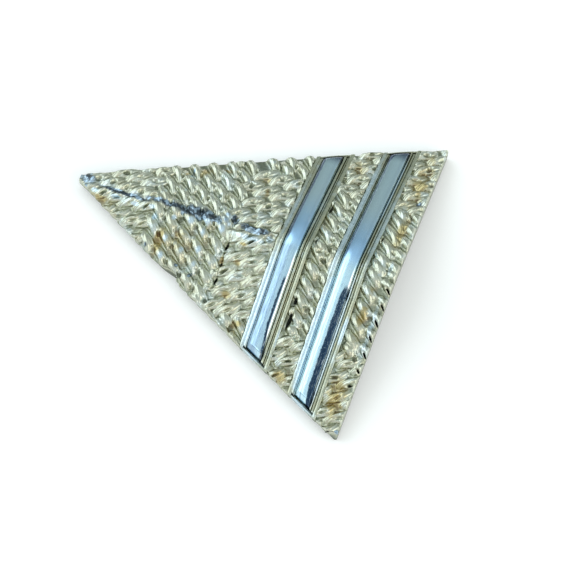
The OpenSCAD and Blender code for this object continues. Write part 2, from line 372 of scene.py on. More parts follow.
# Marks of each bar, in millimetres across and along its UV map where they are places. end, corner:
# where the painted shade of the upper end and of its left corner begins. stripe: middle, width and
# start of the dark stripe on the lower half, a painted reflection. swerve: how far the stripe
# swerves, from where and to where. line: place and width of the dark line of painted shade along
# the upper half. flank: how strong the painted shade of the flank is there. speckled and the last
# mark: how much a speckled row and the painted shade on the lower half's left flank show.
BAR_MARKS = {
    "inner_bar": {
        "end": 18.6, "corner": 23, "stripe": (0.8, 0.36, -4.6), "swerve": (0.45, -13, -18),
        "line": (-0.92, 0.24), "flank": 0.85, "speckled": 1.0, "left_shade": 0.9},
    "outer_bar": {
        "end": 22.8, "corner": 23.4, "stripe": (0.86, 0.95, -3.4), "swerve": (0.3, -20, -23.5),
        "line": (-0.95, 0.2), "flank": 0.3, "speckled": 0.3, "left_shade": 0.25},
}
# How much of each colour of the lower half is left in its shade, the bright right edge there, and
# bright scratches
BAR_SHADE = (0.36, 0.38, 0.5)
BAR_GLINT = (0.92, 0.97, 0.98)
BAR_SCRATCH = (0.8, 0.9, 0.94)


def silver_finish(name, colors, end, corner, stripe, swerve, line, flank, speckled, left_shade):
    """Polished bar with painted reflections and shade. Its UV map holds millimetres: U across the
    bar and V along it.
    """
    material, graph, shader = new_finish(name)
    flat = graph.add("ShaderNodeUVMap", {"uv_map": "bar"})
    across = graph.add("ShaderNodeSeparateXYZ", {}, {"Vector": flat})
    along = graph.other(across, "Y")
    ragged = graph.noise(flat, 1.3, detail=5, roughness=0.65)
    teeth = graph.noise(flat, 5.5, roughness=0.6)
    tall = graph.add("ShaderNodeVectorMath", {"operation": "MULTIPLY"}, {0: flat, 1: (6, 0.35, 1)})
    scratches = graph.noise(tall, 1.6, detail=4)
    # Painted reflections: bright lower half, bluer bend, darker upper half
    metal = graph.blend(graph.ramp(along + ragged, -2, 1.5), colors.bar_low, colors.bar_bend)
    metal = graph.blend(graph.ramp(along + 2 * ragged, 3, 12), metal, colors.bar_high)
    upper = graph.ramp(along + 2 * ragged, 0.5, 2.5)
    lower = graph.ramp(along + ragged, 0.6, -0.8)
    # Upper half: purple-blue painted shade on the flanks, and a dark line of painted shade
    # along the left one
    line_at, line_w = line
    flank_shade = between(colors.bar_high, colors.bar_end, 0.75)
    side = graph.ramp(across + 0.25 * ragged, line_at + 0.15, line_at + 0.42, 1.0, 0.0)
    metal = graph.blend(side * upper * flank, metal, flank_shade)
    metal = graph.blend(graph.ramp(across, 0.5, 1.1) * upper * 0.25, metal, flank_shade)
    dark = graph.line(
        across - line_at + 0.16 * (ragged - 0.5), 0.5 * line_w - 0.05, 0.5 * line_w + 0.06)
    metal = graph.blend(dark * upper * 0.85, metal, colors.bar_end)
    # Lower half: shaded left flank with a crease and a speckled row, and a bright right edge
    shaded = [c * low for c, low in zip(BAR_SHADE, colors.bar_low)]
    left = graph.ramp(across + 0.3 * ragged, 0.05, 0.65, 1.0, 0.45)
    left = left * (0.85 + 0.8 * (scratches - 0.5))
    # Painted shade on the lower half's left flank, with a strength set for each bar
    metal = graph.blend(left * lower * left_shade, metal, shaded)
    metal = graph.blend(graph.line(across + 0.42, 0.03, 0.14) * lower * 0.5, metal, shaded)
    bright = graph.ramp(across, 1.0, 1.12) * graph.ramp(along, -1, -4)
    metal = graph.blend(bright, metal, BAR_GLINT)
    row = graph.line(across + 1.1 + 0.2 * (ragged - 0.5), 0.08, 0.2)
    specks = row * graph.ramp(teeth, 0.44, 0.5) * graph.ramp(along, -4, -5)
    specks = specks * graph.ramp(along, -16, -13) * speckled
    metal = graph.blend(specks, metal, dimmed(colors.bar_low, 0.2))
    # Ragged navy stripe of the lower half: a painted reflection of something dark
    place, width, start = stripe
    shift, turn_from, turn_to = swerve
    middle = across - place - shift * graph.ramp(along, turn_from, turn_to)
    middle = middle - 0.3 * width * graph.ramp(along, start - 4, start)
    torn = middle + 0.5 * (ragged - 0.5) + 0.4 * (teeth - 0.5)
    left = graph.ramp(torn, -0.5 * width - 0.05, -0.5 * width + 0.05)
    right = graph.ramp(
        middle + 0.12 * (ragged - 0.5), 0.5 * width - 0.05, 0.5 * width + 0.07, 1.0, 0.0)
    striped = left * right * graph.ramp(along + 1.5 * ragged, start, start - 1.2)
    flecked = graph.ramp(teeth + 0.05 * graph.ramp(along, -12, -6), 0.57, 0.7)
    flecked = graph.blend(flecked, colors.navy, dimmed(colors.bar_low, 0.4))
    metal = graph.blend(striped, metal, flecked)
    # Painted shade at the upper end and its left corner, and scratches along the bar
    ends = graph.ramp(along + 0.8 * ragged, end - 2, end + 0.5)
    corner = graph.ramp(along - 2.2 * across + 1.5 * ragged, corner - 0.4, corner + 0.4)
    scraped = graph.ramp(scratches, 0.56, 0.62, 1.0, 0.25)
    # Painted shade at the upper end and at its left corner, broken by scratches
    tarnish = graph.math("MAXIMUM", ends, corner * scraped)
    metal = graph.blend(tarnish * 0.95, metal, colors.bar_end)
    streaks = graph.ramp(along, 0, -3) * graph.ramp(scratches, 0.5, 0.68)
    metal = graph.blend(streaks * 0.3, metal, colors.bar_end)
    metal = graph.blend(graph.ramp(scratches, 0.42, 0.32) * 0.3, metal, BAR_SCRATCH)
    graph.fill(shader, {
        "Base Color": metal, "Metallic": 1.0, "Roughness": 0.12 + 0.16 * scratches + 0.1 * striped,
        "Normal": graph.bump(0.12, 0.02, scratches + 0.5 * ragged)})
    return material


def steel_finish(colors):
    """Plated steel of the bar pin, satin and lightly stained."""
    material, graph, shader = new_finish("pin steel")
    where = graph.place()
    grain = graph.noise(where, 1800, detail=4)
    stain = graph.ramp(graph.noise(where, 260), 0.5, 0.75)
    graph.fill(shader, {
        "Base Color": graph.blend(stain, colors.steel, dimmed(colors.steel, 0.6)),
        "Metallic": 1.0, "Roughness": 0.28 + 0.2 * grain, "Normal": graph.bump(0.15, 0.03, grain)})
    return material


# Shape of the folded plate

# Dents of the lower long edge, in millimetres: place along the ridge from the apex, reach, and depth
DENTS = (
    (2.8, 0.4, 0.3), (4, 0.4, 0.4), (5.3, 0.4, 0.35), (7.1, 0.45, 0.45), (8.8, 0.4, 0.35),
    (10.7, 0.4, 0.4), (12.5, 0.45, 0.35), (14.3, 0.4, 0.35), (15.9, 0.4, 0.3), (19.5, 1.5, 1.75),
    (21.7, 0.4, 0.35), (23.5, 0.45, 0.4), (25.4, 0.4, 0.35), (27.6, 0.45, 0.35), (29.5, 0.4, 0.35),
    (31.4, 0.4, 0.3), (39.7, 0.4, 0.35), (41.3, 0.4, 0.3), (49.2, 0.4, 0.3),
)
# Halvings of a span in a search for the outline
HALVINGS = 40


class Roof:
    """The two slopes, from the shell's sizes. Places are u along the ridge and v down the slope,
    positive on the upper side, with h above the ground. All lengths are in metres."""

    def __init__(self, sizes, reach=None):
        self.sizes = sizes
        self.fold = sizes.fold
        self.tilt = math.atan(sizes.half_base * math.sin(sizes.fold) / sizes.ridge_len)
        self.reach = sizes.fold_reach if reach is None else reach
        self.arc_r = self.reach / math.tan(self.fold)
        self.arc_top = -self.reach * math.sin(self.fold) + self.arc_r * (1 - math.cos(self.fold))
        self.corner = self.plan(sizes.ridge_len, sizes.half_base)
        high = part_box("cast_shell")[1]
        self.shift = np.array([self.corner[0] - high.x, self.end_y(1) - high.y, 0.0])

    def plan(self, u, v):
        """Place on the sharp roof, seen from above."""
        return (u * math.cos(self.tilt) + abs(v) * math.sin(self.fold) * math.sin(self.tilt),
                v * math.cos(self.fold))

    def end_y(self, side):
        """Y of the outline's end on one side, where the corner's flat meets the long edge."""
        cut = self.sizes.upper_cut if side > 0 else self.sizes.lower_cut
        share = 1 - cut / self.corner[0]
        return (self.corner * np.array([share, side * share]) + self.bow(share) * self.out(side))[1]

    def out(self, side):
        """Direction out of a long edge, in plan."""
        x, y = self.corner
        return np.array([-y, side * x]) / math.hypot(x, y)

    def bow(self, share):
        """How far a long edge bows outward at a share of its length."""
        return self.sizes.edge_bow * 4 * share * (1 - share)

    def turned(self, along, across, up):
        """From the ridge's frame to the brooch's."""
        cos, sin = math.cos(self.tilt), math.sin(self.tilt)
        return np.stack([along * cos - up * sin, across,
                         self.sizes.rim_h + along * sin + up * cos], -1) - self.shift

    def place(self, u, v, h):
        """Point above a place on the slopes, with the fold rounded over its reach."""
        u, v, h = np.broadcast_arrays(np.asarray(u, float), v, h)
        turn = np.clip(self.fold * v / self.reach, -self.fold, self.fold)
        near = np.abs(v) < self.reach
        across = np.where(near, self.arc_r * np.sin(turn), v * math.cos(self.fold))
        up = np.where(near, self.arc_top - self.arc_r * (1 - np.cos(turn)),
                      -np.abs(v) * math.sin(self.fold))
        return self.turned(u, across + h * np.sin(turn), up + h * np.cos(turn))

    def found(self, points):
        """Roughly the u, v and h of points, for charts."""
        x, y, z = (points + self.shift).T
        cos, sin = math.cos(self.tilt), math.sin(self.tilt)
        up = -x * sin + (z - self.sizes.rim_h) * cos
        h = (up + np.abs(y) * math.tan(self.fold)) * math.cos(self.fold)
        return x * cos + (z - self.sizes.rim_h) * sin, y / math.cos(self.fold), h

    def top(self, x, y):
        """Height of the ground at plan places that are not yet shifted."""
        x, y = np.broadcast_arrays(np.asarray(x, float), y)
        edge = self.reach * math.cos(self.fold)
        turn = np.arcsin(np.clip(y / self.arc_r, -math.sin(self.fold), math.sin(self.fold)))
        up = np.where(np.abs(y) < edge, self.arc_top - self.arc_r * (1 - np.cos(turn)),
                      -np.abs(y) * math.tan(self.fold))
        cos, sin = math.cos(self.tilt), math.sin(self.tilt)
        return self.sizes.rim_h + (x + up * sin) / cos * sin + up * cos

    def edge_x(self, y, inset=0.0):
        """Plan X of the long edges at plan Y: bowed, moved inward, with the nick and the dents."""
        x_far, y_far = self.corner
        y = np.asarray(y, float)
        length = math.hypot(x_far, y_far)
        share = np.clip(np.abs(y) / y_far, 0, 1)
        for _ in range(4):
            away = self.bow(share) - inset
            share = np.clip((np.abs(y) - away * x_far / length) / y_far, 0, 1)
        away = self.bow(share) - inset
        x = (np.abs(y) - away * length / x_far) * x_far / y_far
        if inset == 0:
            nick = self.nick_at()
            reach = self.sizes.nick_r ** 2 - (y - nick[1]) ** 2
            x = np.where(reach > 0, np.maximum(x, nick[0] + np.sqrt(np.maximum(reach, 0))), x)
        if inset < self.sizes.rim_t:
            run = np.abs(y) * x_far / y_far / MM
            for place, reach, depth in DENTS:
                x = x + (y < 0) * depth * MM * np.exp(-((run - place) / reach) ** 2)
        flat = self.sizes.apex_cut / 2 / math.tan(math.atan2(y_far, x_far))
        return np.maximum(x, flat if inset == 0 else -1.0)

    def nick_at(self):
        """Plan place of the nick's middle."""
        share = self.sizes.nick_share
        away = self.bow(share) + self.sizes.nick_r / 2
        return np.array(self.corner) * [share, -share] + away * self.out(-1)

    def base_x(self, y):
        """Plan X of the base at plan Y, with the corners' flats."""
        x_far, y_far = self.corner
        y = np.asarray(y, float)
        cut = np.where(y > 0, self.sizes.upper_cut, self.sizes.lower_cut)
        start = y_far - cut * y_far / x_far
        past = np.clip((np.abs(y) - start) / (y_far - start), 0, 1)
        return x_far - past * cut

    def side_v(self, u, side):
        """The v at which the ground meets a long edge."""
        near, far = 0.0, 1.1 * self.sizes.half_base
        for _ in range(HALVINGS):
            v = (near + far) / 2
            x, y = self.plan(u, side * v)
            near, far = (v, far) if x > float(self.edge_x(y)) else (near, v)
        return side * near

    def start_u(self):
        """The place along the ridge at which the apex's flat lies."""
        return (float(self.edge_x(0.0)) + 0.02 * MM) / math.cos(self.tilt)

    def kept_in(self, points):
        """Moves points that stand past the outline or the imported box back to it."""
        x, y, z = (points + self.shift).T
        y = np.clip(y, self.end_y(-1), self.end_y(1))
        x = np.minimum(np.maximum(x, self.edge_x(y)), self.base_x(y))
        kept = np.column_stack([x, y, z]) - self.shift
        low, high = (np.array(corner) for corner in CAD_BOX)
        return np.clip(kept, low, high)

    def stretched(self, u, v, u0, u1):
        """Moves places between u0 and u1 along the ridge so that u1 comes to the base."""
        x, y = self.plan(u1, v)
        share = np.clip((u - u0) / (u1 - u0), 0, 1) ** 3
        return u + share * (self.base_x(y) - x) / math.cos(self.tilt)


# Pieces

# How deep ledges, steps, lips and relief reach into the plate, the slope along the crowns of ledges
# and lips, the bevel of the shell's edges, and the slope at a bar's ends
ROOT = 0.25 * MM
SOFT_EDGE = 0.12 * MM
BEVEL_W = 0.1 * MM
BAR_SLOPE = 0.7 * MM


def new_piece(name, points, faces, material):
    mesh = bpy.data.meshes.new(name)
    mesh.from_pydata([tuple(p) for p in points], [], faces)
    mesh.materials.append(material)
    piece = bpy.data.objects.new(name, mesh)
    bpy.context.scene.collection.objects.link(piece)
    return piece


def closed_piece(name, points, faces, material):
    """A smooth piece with its doubles merged and its faces turned outward."""
    piece = new_piece(name, points, faces, material)
    piece.data.shade_smooth()
    work = bmesh.new()
    work.from_mesh(piece.data)
    bmesh.ops.remove_doubles(work, verts=work.verts, dist=0.002 * MM)
    bmesh.ops.dissolve_degenerate(work, edges=work.edges, dist=0.001 * MM)
    bmesh.ops.recalc_face_normals(work, faces=work.faces)
    work.to_mesh(piece.data)
    work.free()
    return piece


def plain(piece):
    """Makes the evaluated result the piece's own mesh and removes its modifiers."""
    graph = bpy.context.evaluated_depsgraph_get()
    mesh = bpy.data.meshes.new_from_object(piece.evaluated_get(graph))
    piece.modifiers.clear()
    swap_mesh(piece, mesh)


def swap_mesh(piece, mesh):
    """Gives a piece another mesh under the old one's name."""
    old, piece.data = piece.data, mesh
    name = old.name
    bpy.data.meshes.remove(old)
    mesh.name = name


def store(mesh, name, values):
    """Stores one number for each vertex."""
    layer = mesh.attributes.get(name) or mesh.attributes.new(name, "FLOAT", "POINT")
    layer.data.foreach_set("value", np.asarray(values, np.float32))


def points_of(mesh):
    flat = np.zeros(len(mesh.vertices) * 3)
    mesh.vertices.foreach_get("co", flat)
    return flat.reshape(-1, 3)


def values_of(mesh, name):
    values = np.zeros(len(mesh.vertices), np.float32)
    mesh.attributes[name].data.foreach_get("value", values)
    return values


def loft(rings):
    """Faces between closed rings of as many points each, and a cap on either end."""
    faces = []
    for a, b in zip(rings, rings[1:]):
        for i in range(len(a)):
            j = (i + 1) % len(a)
            faces.append((a[i], a[j], b[j], b[i]))
    return faces + [tuple(rings[0][::-1]), tuple(rings[-1])]


def plate(roof, material):
    """The folded plate with its rim, hollow at the back. Each row of points runs across the plan
    at one Y. L and R are the ground's ends, m and l the rim's slope and foot under L, r the foot
    under R, and a, A, B and b go round the hollow."""
    sizes = roof.sizes
    apex = sizes.apex_cut / 2
    nick = roof.nick_at()[1]
    rows = np.unique(np.round(np.concatenate([
        np.linspace(roof.end_y(-1), 0, 150), np.linspace(0, roof.end_y(1), 31),
        np.linspace(nick - sizes.nick_r, nick + sizes.nick_r, 15),
        np.linspace(-1, 1, 9) * roof.reach,
        [-apex, apex],
    ]), 7))
    left, right = roof.edge_x(rows), roof.base_x(rows)
    foot_left = np.maximum(np.minimum(roof.edge_x(rows, sizes.rim_tuck), right - 0.02 * MM), left)
    mid_left = np.clip(roof.edge_x(rows, 0.6 * sizes.rim_tuck), left, right)
    inner_left = np.maximum(roof.edge_x(rows, sizes.rim_t), foot_left + 0.1 * MM)
    inner_right = roof.corner[0] - sizes.rim_t
    hollow = inner_left < inner_right
    drop = sizes.plate_t / math.cos(roof.fold)
    points, index, faces = [], {}, []

    def add(letter, j, x, z):
        index[letter, j] = len(points)
        points.append((x - roof.shift[0], rows[j] - roof.shift[1], z))

    def face(letters, *at):
        faces.append(tuple(index[key] for key in zip(letters, at)))

    def walls(letters, j, k):
        """Faces between two rows, from each letter to the next."""
        for a, b in zip(letters, letters[1:]):
            face(a + a + b + b, j, k, k, j)

    for j, y in enumerate(rows):
        edge, base = float(roof.top(left[j], y)), float(roof.top(right[j], y))
        foot = max(base - sizes.rim_h, 0.0)
        add("L", j, left[j], edge)
        add("R", j, right[j], base)
        add("m", j, mid_left[j], 0.55 * edge)
        add("l", j, foot_left[j], 0.0)
        add("r", j, right[j], foot)
        if hollow[j]:
            x = max(inner_left[j], 0.0)
            add("a", j, x, 0.0)
            add("A", j, x, max(float(roof.top(x, y)) - drop, 0.0))
            add("B", j, inner_right, float(roof.top(inner_right, y)) - drop)
            add("b", j, inner_right, foot)
    last = len(rows) - 1
    for j in range(last):
        k = j + 1
        face("LRRL", j, j, k, k)
        walls("Lml", j, k)
        walls("Rr", k, j)
        if hollow[j] and hollow[k]:
            walls("laABbr", j, k)
        elif not hollow[j] and not hollow[k]:
            walls("lr", j, k)
        else:
            i, o = (j, k) if hollow[j] else (k, j)
            face("aABb", i, i, i, i)
            face("lla", i, o, i)
            face("alrb", i, o, o, i)
            face("brr", i, o, i)
    face("LmlrR", *[0] * 5)
    face("LRrlm", *[last] * 5)
    return closed_piece("shell_plate", points, faces, material)


def strip_ends(roof, u, h, inset):
    """The v at which lines across the slopes leave the outline, on the lower and the upper side."""
    ends = []
    for side in (-1, 1):
        v = np.full(len(u), side * 0.4 * roof.sizes.half_base)
        for _ in range(HALVINGS):
            point = roof.place(u, v, h) + roof.shift
            room = point[:, 0] - roof.edge_x(point[:, 1], inset)
            v = v + side * room * 0.4
        ends.append(v)
    return ends


def strip(name, roof, profile, at, inset, material, stations=90, rounded=0.0):
    """A closed bar across both slopes. The profile is places along the ridge and heights. Its ends
    slope down over the distance given by rounded."""
    u = at + np.array([p[0] for p in profile])
    h = np.array([p[1] for p in profile])
    low, high = strip_ends(roof, u, h, inset)
    span = (high - low).mean()
    shares = np.linspace(0, 1, stations)
    if rounded:
        near = rounded / span * np.array([0.15, 0.3, 0.5, 0.75, 1])
        shares = np.unique(np.concatenate([[0], near, 1 - near, [1], shares[2:-2]]))
    points, rings = [], []
    for share in shares:
        rings.append(list(range(len(points), len(points) + len(u))))
        height = h
        if rounded:
            away = 1 - np.clip(min(share, 1 - share) * span / rounded, 0, 1)
            height = h.min() + (h - h.min()) * (1 - 0.35 * away ** 1.3)
        points.extend(roof.kept_in(roof.place(u, low + (high - low) * share, height)))
    return closed_piece(name, points, loft(rings), material)


def lips(roof, shell, bars, at, material):
    """Low walls that close a channel at the two long edges."""
    built = []
    stations = 13
    half = (bars.unit_w - shell.ledge_w) / 2
    places = at + np.linspace(-half, half, stations)
    root = np.full(stations, -ROOT)
    crown = shell.lip_h * (0.75 + 0.25 * np.cos(np.linspace(-1, 1, stations) * math.pi / 2))
    for side in (-1, 1):
        outer = np.array([roof.side_v(u, side) for u in places])
        inner = outer - side * shell.lip_t
        section = ((outer, root), (outer, crown * 0.8), (outer - side * SOFT_EDGE, crown),
                   (inner, crown), (inner, root))
        points, lines = [], []
        for v, h in section:
            lines.append(range(len(points), len(points) + stations))
            points.extend(roof.kept_in(roof.place(places, v, h)))
        built.append(closed_piece("lip", points, loft(list(zip(*lines))), material))
    return built


def joined(name, pieces):
    """One piece out of several."""
    with bpy.context.temp_override(
            active_object=pieces[0], selected_editable_objects=pieces, object=pieces[0]):
        bpy.ops.object.join()
    pieces[0].name = pieces[0].data.name = name
    return pieces[0]


# Rope fields, in millimetres: side of the ridge, from and to along the ridge, from and to down the
# slope, whether the ropes run along the ridge, distance from strand to strand, the place of a strand
# in the first rope, and the ropes' width where it differs. The words inner and outer stand for a
# channel's two sides.
FIELDS = (
    (1, 0, 13, 0, 7.5, True, 2.35, 1.3),
    (1, 13, 26, 0, 13, False, 2.6, 1.55),
    (1, 26, "inner from", 0, 12.65, True, 2.6, 27.4, 2.95),
    (1, 26, "inner from", 13, 18, False, 2.6, 14),
    (1, "inner to", "outer from", 0, 11.7, False, 2.6, 0.9),
    (1, "inner to", "outer from", 11.7, 22.7, True, 2.6, 41.1),
    (1, "outer to", 52, 0, 11.8, False, 2.6, 1.9),
    (1, "outer to", 52, 11.8, 28.3, True, 2.6, 50.3),
    (-1, 0, 13, 0, 7.9, True, 2.35, 0.45),
    (-1, 13, 26, 0, 13, False, 2.6, -1.05),
    (-1, 26, "inner from", 0, 14, True, 2.6, 27.1),
    (-1, 26, "inner from", 13.8, 18, False, 2.6, -14.6),
    (-1, "inner to", "outer from", 0, 13.2, False, 2.6, -0.3),
    (-1, "inner to", "outer from", 13.2, 24.2, True, 2.6, 41.2),
    (-1, "outer to", 52, 0, 13.4, False, 2.6, -1.2),
    (-1, "outer to", 52, 13.4, 27.3, True, 2.6, 50),
)
# Nearest that the middle of a rope along the ridge comes to the ridge, in millimetres
LEAST_MIDDLE = 0.9
# How far past a field's limit a strand may start before it is left out. Its middle is then moved
# to SHORT_IN from the limit, and its length is the share SHORT of a whole one's.
SPARE = 1.1
SHORT_IN = 0.4
SHORT = 0.7
# From FIRST_CUT on, channels and the base cut ropes along the ridge off, and strands whose middle
# lies up to CUT_OFF past such a limit still show
FIRST_CUT = 26
CUT_OFF = 1.2
# How far past the long edges the middle of a strand may lie
PAST_EDGE = 1.6
# Length and width of the strands as shares, by side of the ridge and whether ropes run along it
SHARES = {
    (1, True): (1, 1.2), (1, False): (1, 1), (-1, True): (0.95, 1.1), (-1, False): (0.85, 1.05),
}
# Small strands on the ridge itself: place, turn, width with the hand as its sign, and length
ON_RIDGE = (
    (27.7, 0.25, 0.35, -0.75, 0.55), (29.2, 0.1, 0.2, -0.85, 0.6), (30.8, 0.3, 0.4, -0.75, 0.55),
    (32.4, 0.15, 0.25, -0.85, 0.6), (33.6, 0.3, 0.3, -0.7, 0.5), (40.2, 0.1, 0.9, -0.7, 0.5),
)


def channel_sides(bars):
    """Places of the two channels' sides along the ridge, in millimetres."""
    half = bars.unit_w / 2
    return {
        "inner from": (bars.inner_u - half) / MM, "inner to": (bars.inner_u + half) / MM,
        "outer from": (bars.outer_u - half) / MM, "outer to": (bars.outer_u + half) / MM,
    }


def strand_seats(shell, ropes, bars):
    """For every strand its middle in millimetres, its turn in radians, its width as a share with
    the hand as its sign, and its length as a share."""
    named = channel_sides(bars)
    column_w = ropes.column_w / MM
    steep = shell.half_base / shell.ridge_len
    seats = []
    for field in FIELDS:
        side, along, pitch, first = field[0], *field[5:8]
        u0, u1 = (named.get(p, p) for p in field[1:3])
        v0, v1 = field[3:5]
        row_w = field[8] if len(field) > 8 else ropes.row_w / MM
        length, width = SHARES[side, along]
        if along:
            count = math.floor((v1 - v0) / row_w + 0.5)
            middles = [max(v1 - (n + 0.5) * row_w, LEAST_MIDDLE) for n in range(count)]
            reach = (u0 - CUT_OFF if u0 > FIRST_CUT else u0, u1 + CUT_OFF if u1 > FIRST_CUT else u1)
        else:
            count = round((u1 - u0) / column_w + 0.1)
            middles = [u0 + (n + 0.5) * column_w for n in range(count)]
            reach = (v0, v1) if side > 0 else (-v1, -v0)
        for number, middle in enumerate(middles):
            crown = first + number % 2 * pitch / 2
            before = math.ceil((reach[0] - SPARE - crown) / pitch)
            after = math.floor((reach[1] + SPARE - crown) / pitch)
            for step in range(before, after + 1):
                ahead = crown + step * pitch
                past = max(reach[0] - ahead, ahead - reach[1], 0)
                share = 1
                if past:
                    share = SHORT
                    ahead = min(max(ahead, reach[0] + SHORT_IN), reach[1] - SHORT_IN)
                u, v = (ahead, side * middle) if along else (middle, ahead)
                if abs(v) < steep * u + PAST_EDGE:
                    turn = ropes.lay if along else ropes.lay - math.pi / 2
                    seats.append((u, v, turn, -width if along else width, share * length))
    seats.extend(ON_RIDGE)
    return seats


# Sizes of the ropes that are inputs of the tree
CAST_SIZES = (
    "strand_len", "strand_w", "strand_h", "lobes", "lobe_h", "bed", "twin_w", "twin_off", "twin_h",
    "dip", "sway", "unevenness", "seed", "fill",
)
# Height above the ground from which the skin drops, and the width of its soft join with the bed
SKIN_DROP = 0.01
SOFT_JOIN = 0.15 * MM


def relief_tree(ropes):
    """Geometry nodes that set a strand on every seat and cast a skin over all of them."""
    tree = bpy.data.node_groups.new("Cast relief", "GeometryNodeTree")
    made = {}

    def new_input(name, kind):
        made[name] = tree.interface.new_socket(
            name=name, in_out="INPUT", socket_type="NodeSocket" + kind)
        return made[name]

    new_input("Ground", "Geometry")
    new_input("Seats", "Object")
    for key in CAST_SIZES:
        prop = ropes.bl_rna.properties[key]
        kind = "Int" if prop.type == "INT" else "Float"
        new_input(prop.name, kind).default_value = getattr(ropes, key)
    new_input("Metal", "Material")
    tree.interface.new_socket(name="Relief", in_out="OUTPUT", socket_type="NodeSocketGeometry")
    graph = Graph(tree)
    ground = graph.add("NodeGroupInput", output="Ground")

    def given(name):
        return graph.other(ground, name)

    def xyz(x=0.0, y=0.0, z=0.0):
        return graph.add("ShaderNodeCombineXYZ", {}, {"X": x, "Y": y, "Z": z})

    def named(name):
        return graph.add("GeometryNodeInputNamedAttribute", {"data_type": "FLOAT"}, {"Name": name})

    def stored(geometry, name, value):
        return graph.add("GeometryNodeStoreNamedAttribute", {"data_type": "FLOAT"},
                         {"Geometry": geometry, "Name": name, "Value": value})

    def blurred(value, times):
        return graph.add("GeometryNodeBlurAttribute", {"data_type": "FLOAT"},
                         {0: value, "Iterations": times})

    def straight(count):
        """A line along X with a number of points."""
        line = graph.add("GeometryNodeCurvePrimitiveLine", {"mode": "POINTS"},
                         {"Start": (-0.5, 0, 0), "End": (0.5, 0, 0)})
        return graph.add("GeometryNodeResampleCurve", {"mode": "COUNT"},
                         {"Curve": line, "Count": count})

    def circle(width, count):
        return graph.add("GeometryNodeCurvePrimitiveCircle", {"mode": "RADIUS"},
                         {"Resolution": count, "Radius": given(width) * 0.5})

    def swept(line, section):
        return graph.add("GeometryNodeCurveToMesh", {},
                         {"Curve": line, "Profile Curve": section, "Fill Caps": True})

    def moved(geometry, place):
        return graph.add("GeometryNodeSetPosition", {}, {"Geometry": geometry, "Position": place})

    # One strand: a line along X that sways, dips at its tips and swells in its middle
    line = straight(33)
    share = graph.add("GeometryNodeSplineParameter", output="Factor") * 2 - 1
    square = share * share
    swell = graph.math("SQRT", graph.math("MAXIMUM", 1.0 - square * square * square, 0.0004))
    line = graph.add("GeometryNodeSetCurveRadius", {}, {"Curve": line, "Radius": swell})
    middle = given("Strand height") - given("Strand width") * 0.5 - given("Dip") * square
    sway = graph.math("SINE", share * math.pi) * given("Sway")
    line = moved(line, xyz(share * 0.5 * given("Strand length"), sway, middle))
    line = graph.add("GeometryNodeSetCurveTilt", {}, {"Curve": line, "Tilt": share * 0.9})
    # Its ribbed section
    section = circle("Strand width", 48)
    rib = graph.add("GeometryNodeSplineParameter", output="Factor") * (2 * math.pi) * given("Lobes")
    out = 1 + given("Lobe height") * (graph.math("COSINE", rib) - 1)
    here = graph.add("GeometryNodeInputPosition")
    section = moved(section, graph.add(
        "ShaderNodeVectorMath", {"operation": "SCALE"}, {"Vector": here, "Scale": out}))
    strand = swept(line, section)
    # Its thin twin: a wire that loops from one end of the strand round a hollow to the other
    angle = graph.add("GeometryNodeSplineParameter", output="Factor") * math.pi
    cosine = graph.math("COSINE", angle)
    bulge = graph.math("POWER", graph.math("SINE", angle), 0.6)
    thin = moved(straight(41), xyz(
        (0.07 - cosine * 0.43) * given("Strand length"),
        bulge * (0.75 - 0.25 * cosine) * given("Twin offset"),
        (0.6 + 0.4 * bulge) * given("Twin height") - given("Twin width") * 0.5))
    thin = swept(thin, circle("Twin width", 12))
    pair = graph.add("GeometryNodeJoinGeometry", {}, {"Geometry": strand})
    tree.links.new(thin.socket, pair.socket.node.inputs["Geometry"])
    # Strands on their seats
    seats = graph.add("GeometryNodeObjectInfo", {}, {"Object": given("Seats")}, output="Geometry")
    turned = graph.add("FunctionNodeEulerToRotation", {}, {0: xyz(z=named("turn"))})
    least, most = 1 - given("Unevenness"), 1 + given("Unevenness")
    uneven = graph.add("FunctionNodeRandomValue", {"data_type": "FLOAT_VECTOR"}, {
        0: xyz(least, least, least), 1: xyz(most, most, most), "Seed": given("Seed")})
    shares = xyz(named("size"), named("hand"), 1.0)
    shares = graph.add("ShaderNodeVectorMath", {"operation": "MULTIPLY"}, {0: uneven, 1: shares})
    strands = graph.add("GeometryNodeInstanceOnPoints", {}, {
        "Points": seats, "Instance": pair, "Rotation": turned, "Scale": shares})
    strands = graph.add("GeometryNodeRealizeInstances", {}, {"Geometry": strands})
    # The skin: each point of the ground drops onto the strands from above
    place = graph.add("GeometryNodeInputPosition")
    above = graph.add("ShaderNodeVectorMath", {"operation": "ADD"}, {0: place, 1: (0, 0, SKIN_DROP)})
    hit = graph.add("GeometryNodeRaycast", {}, {
        "Target Geometry": strands, "Source Position": above, "Ray Direction": (0, 0, -1),
        "Ray Length": SKIN_DROP}, output="Is Hit")
    hit_place = graph.add("ShaderNodeSeparateXYZ", {}, {"Vector": graph.other(hit, "Hit Position")})
    raw = hit * graph.other(hit_place, "Z")
    raw = graph.math("SMOOTH_MAX", raw, given("Bed"), SOFT_JOIN)
    relief = stored(ground, "raw", raw)
    raw = named("raw")
    around = blurred(raw, 20)
    filled = raw + graph.math("MAXIMUM", around - raw, 0.0) * given("Fill")
    relief = stored(relief, "around", around)
    relief = graph.add("GeometryNodeSetPosition", {}, {
        "Geometry": relief, "Offset": xyz(z=blurred(filled, 1))})
    relief = graph.add("GeometryNodeRealizeInstances", {}, {"Geometry": relief})
    relief = graph.add("GeometryNodeSetMaterial", {},
                       {"Geometry": relief, "Material": given("Metal")})
    graph.add("NodeGroupOutput", {}, {"Relief": relief})
    return tree, made


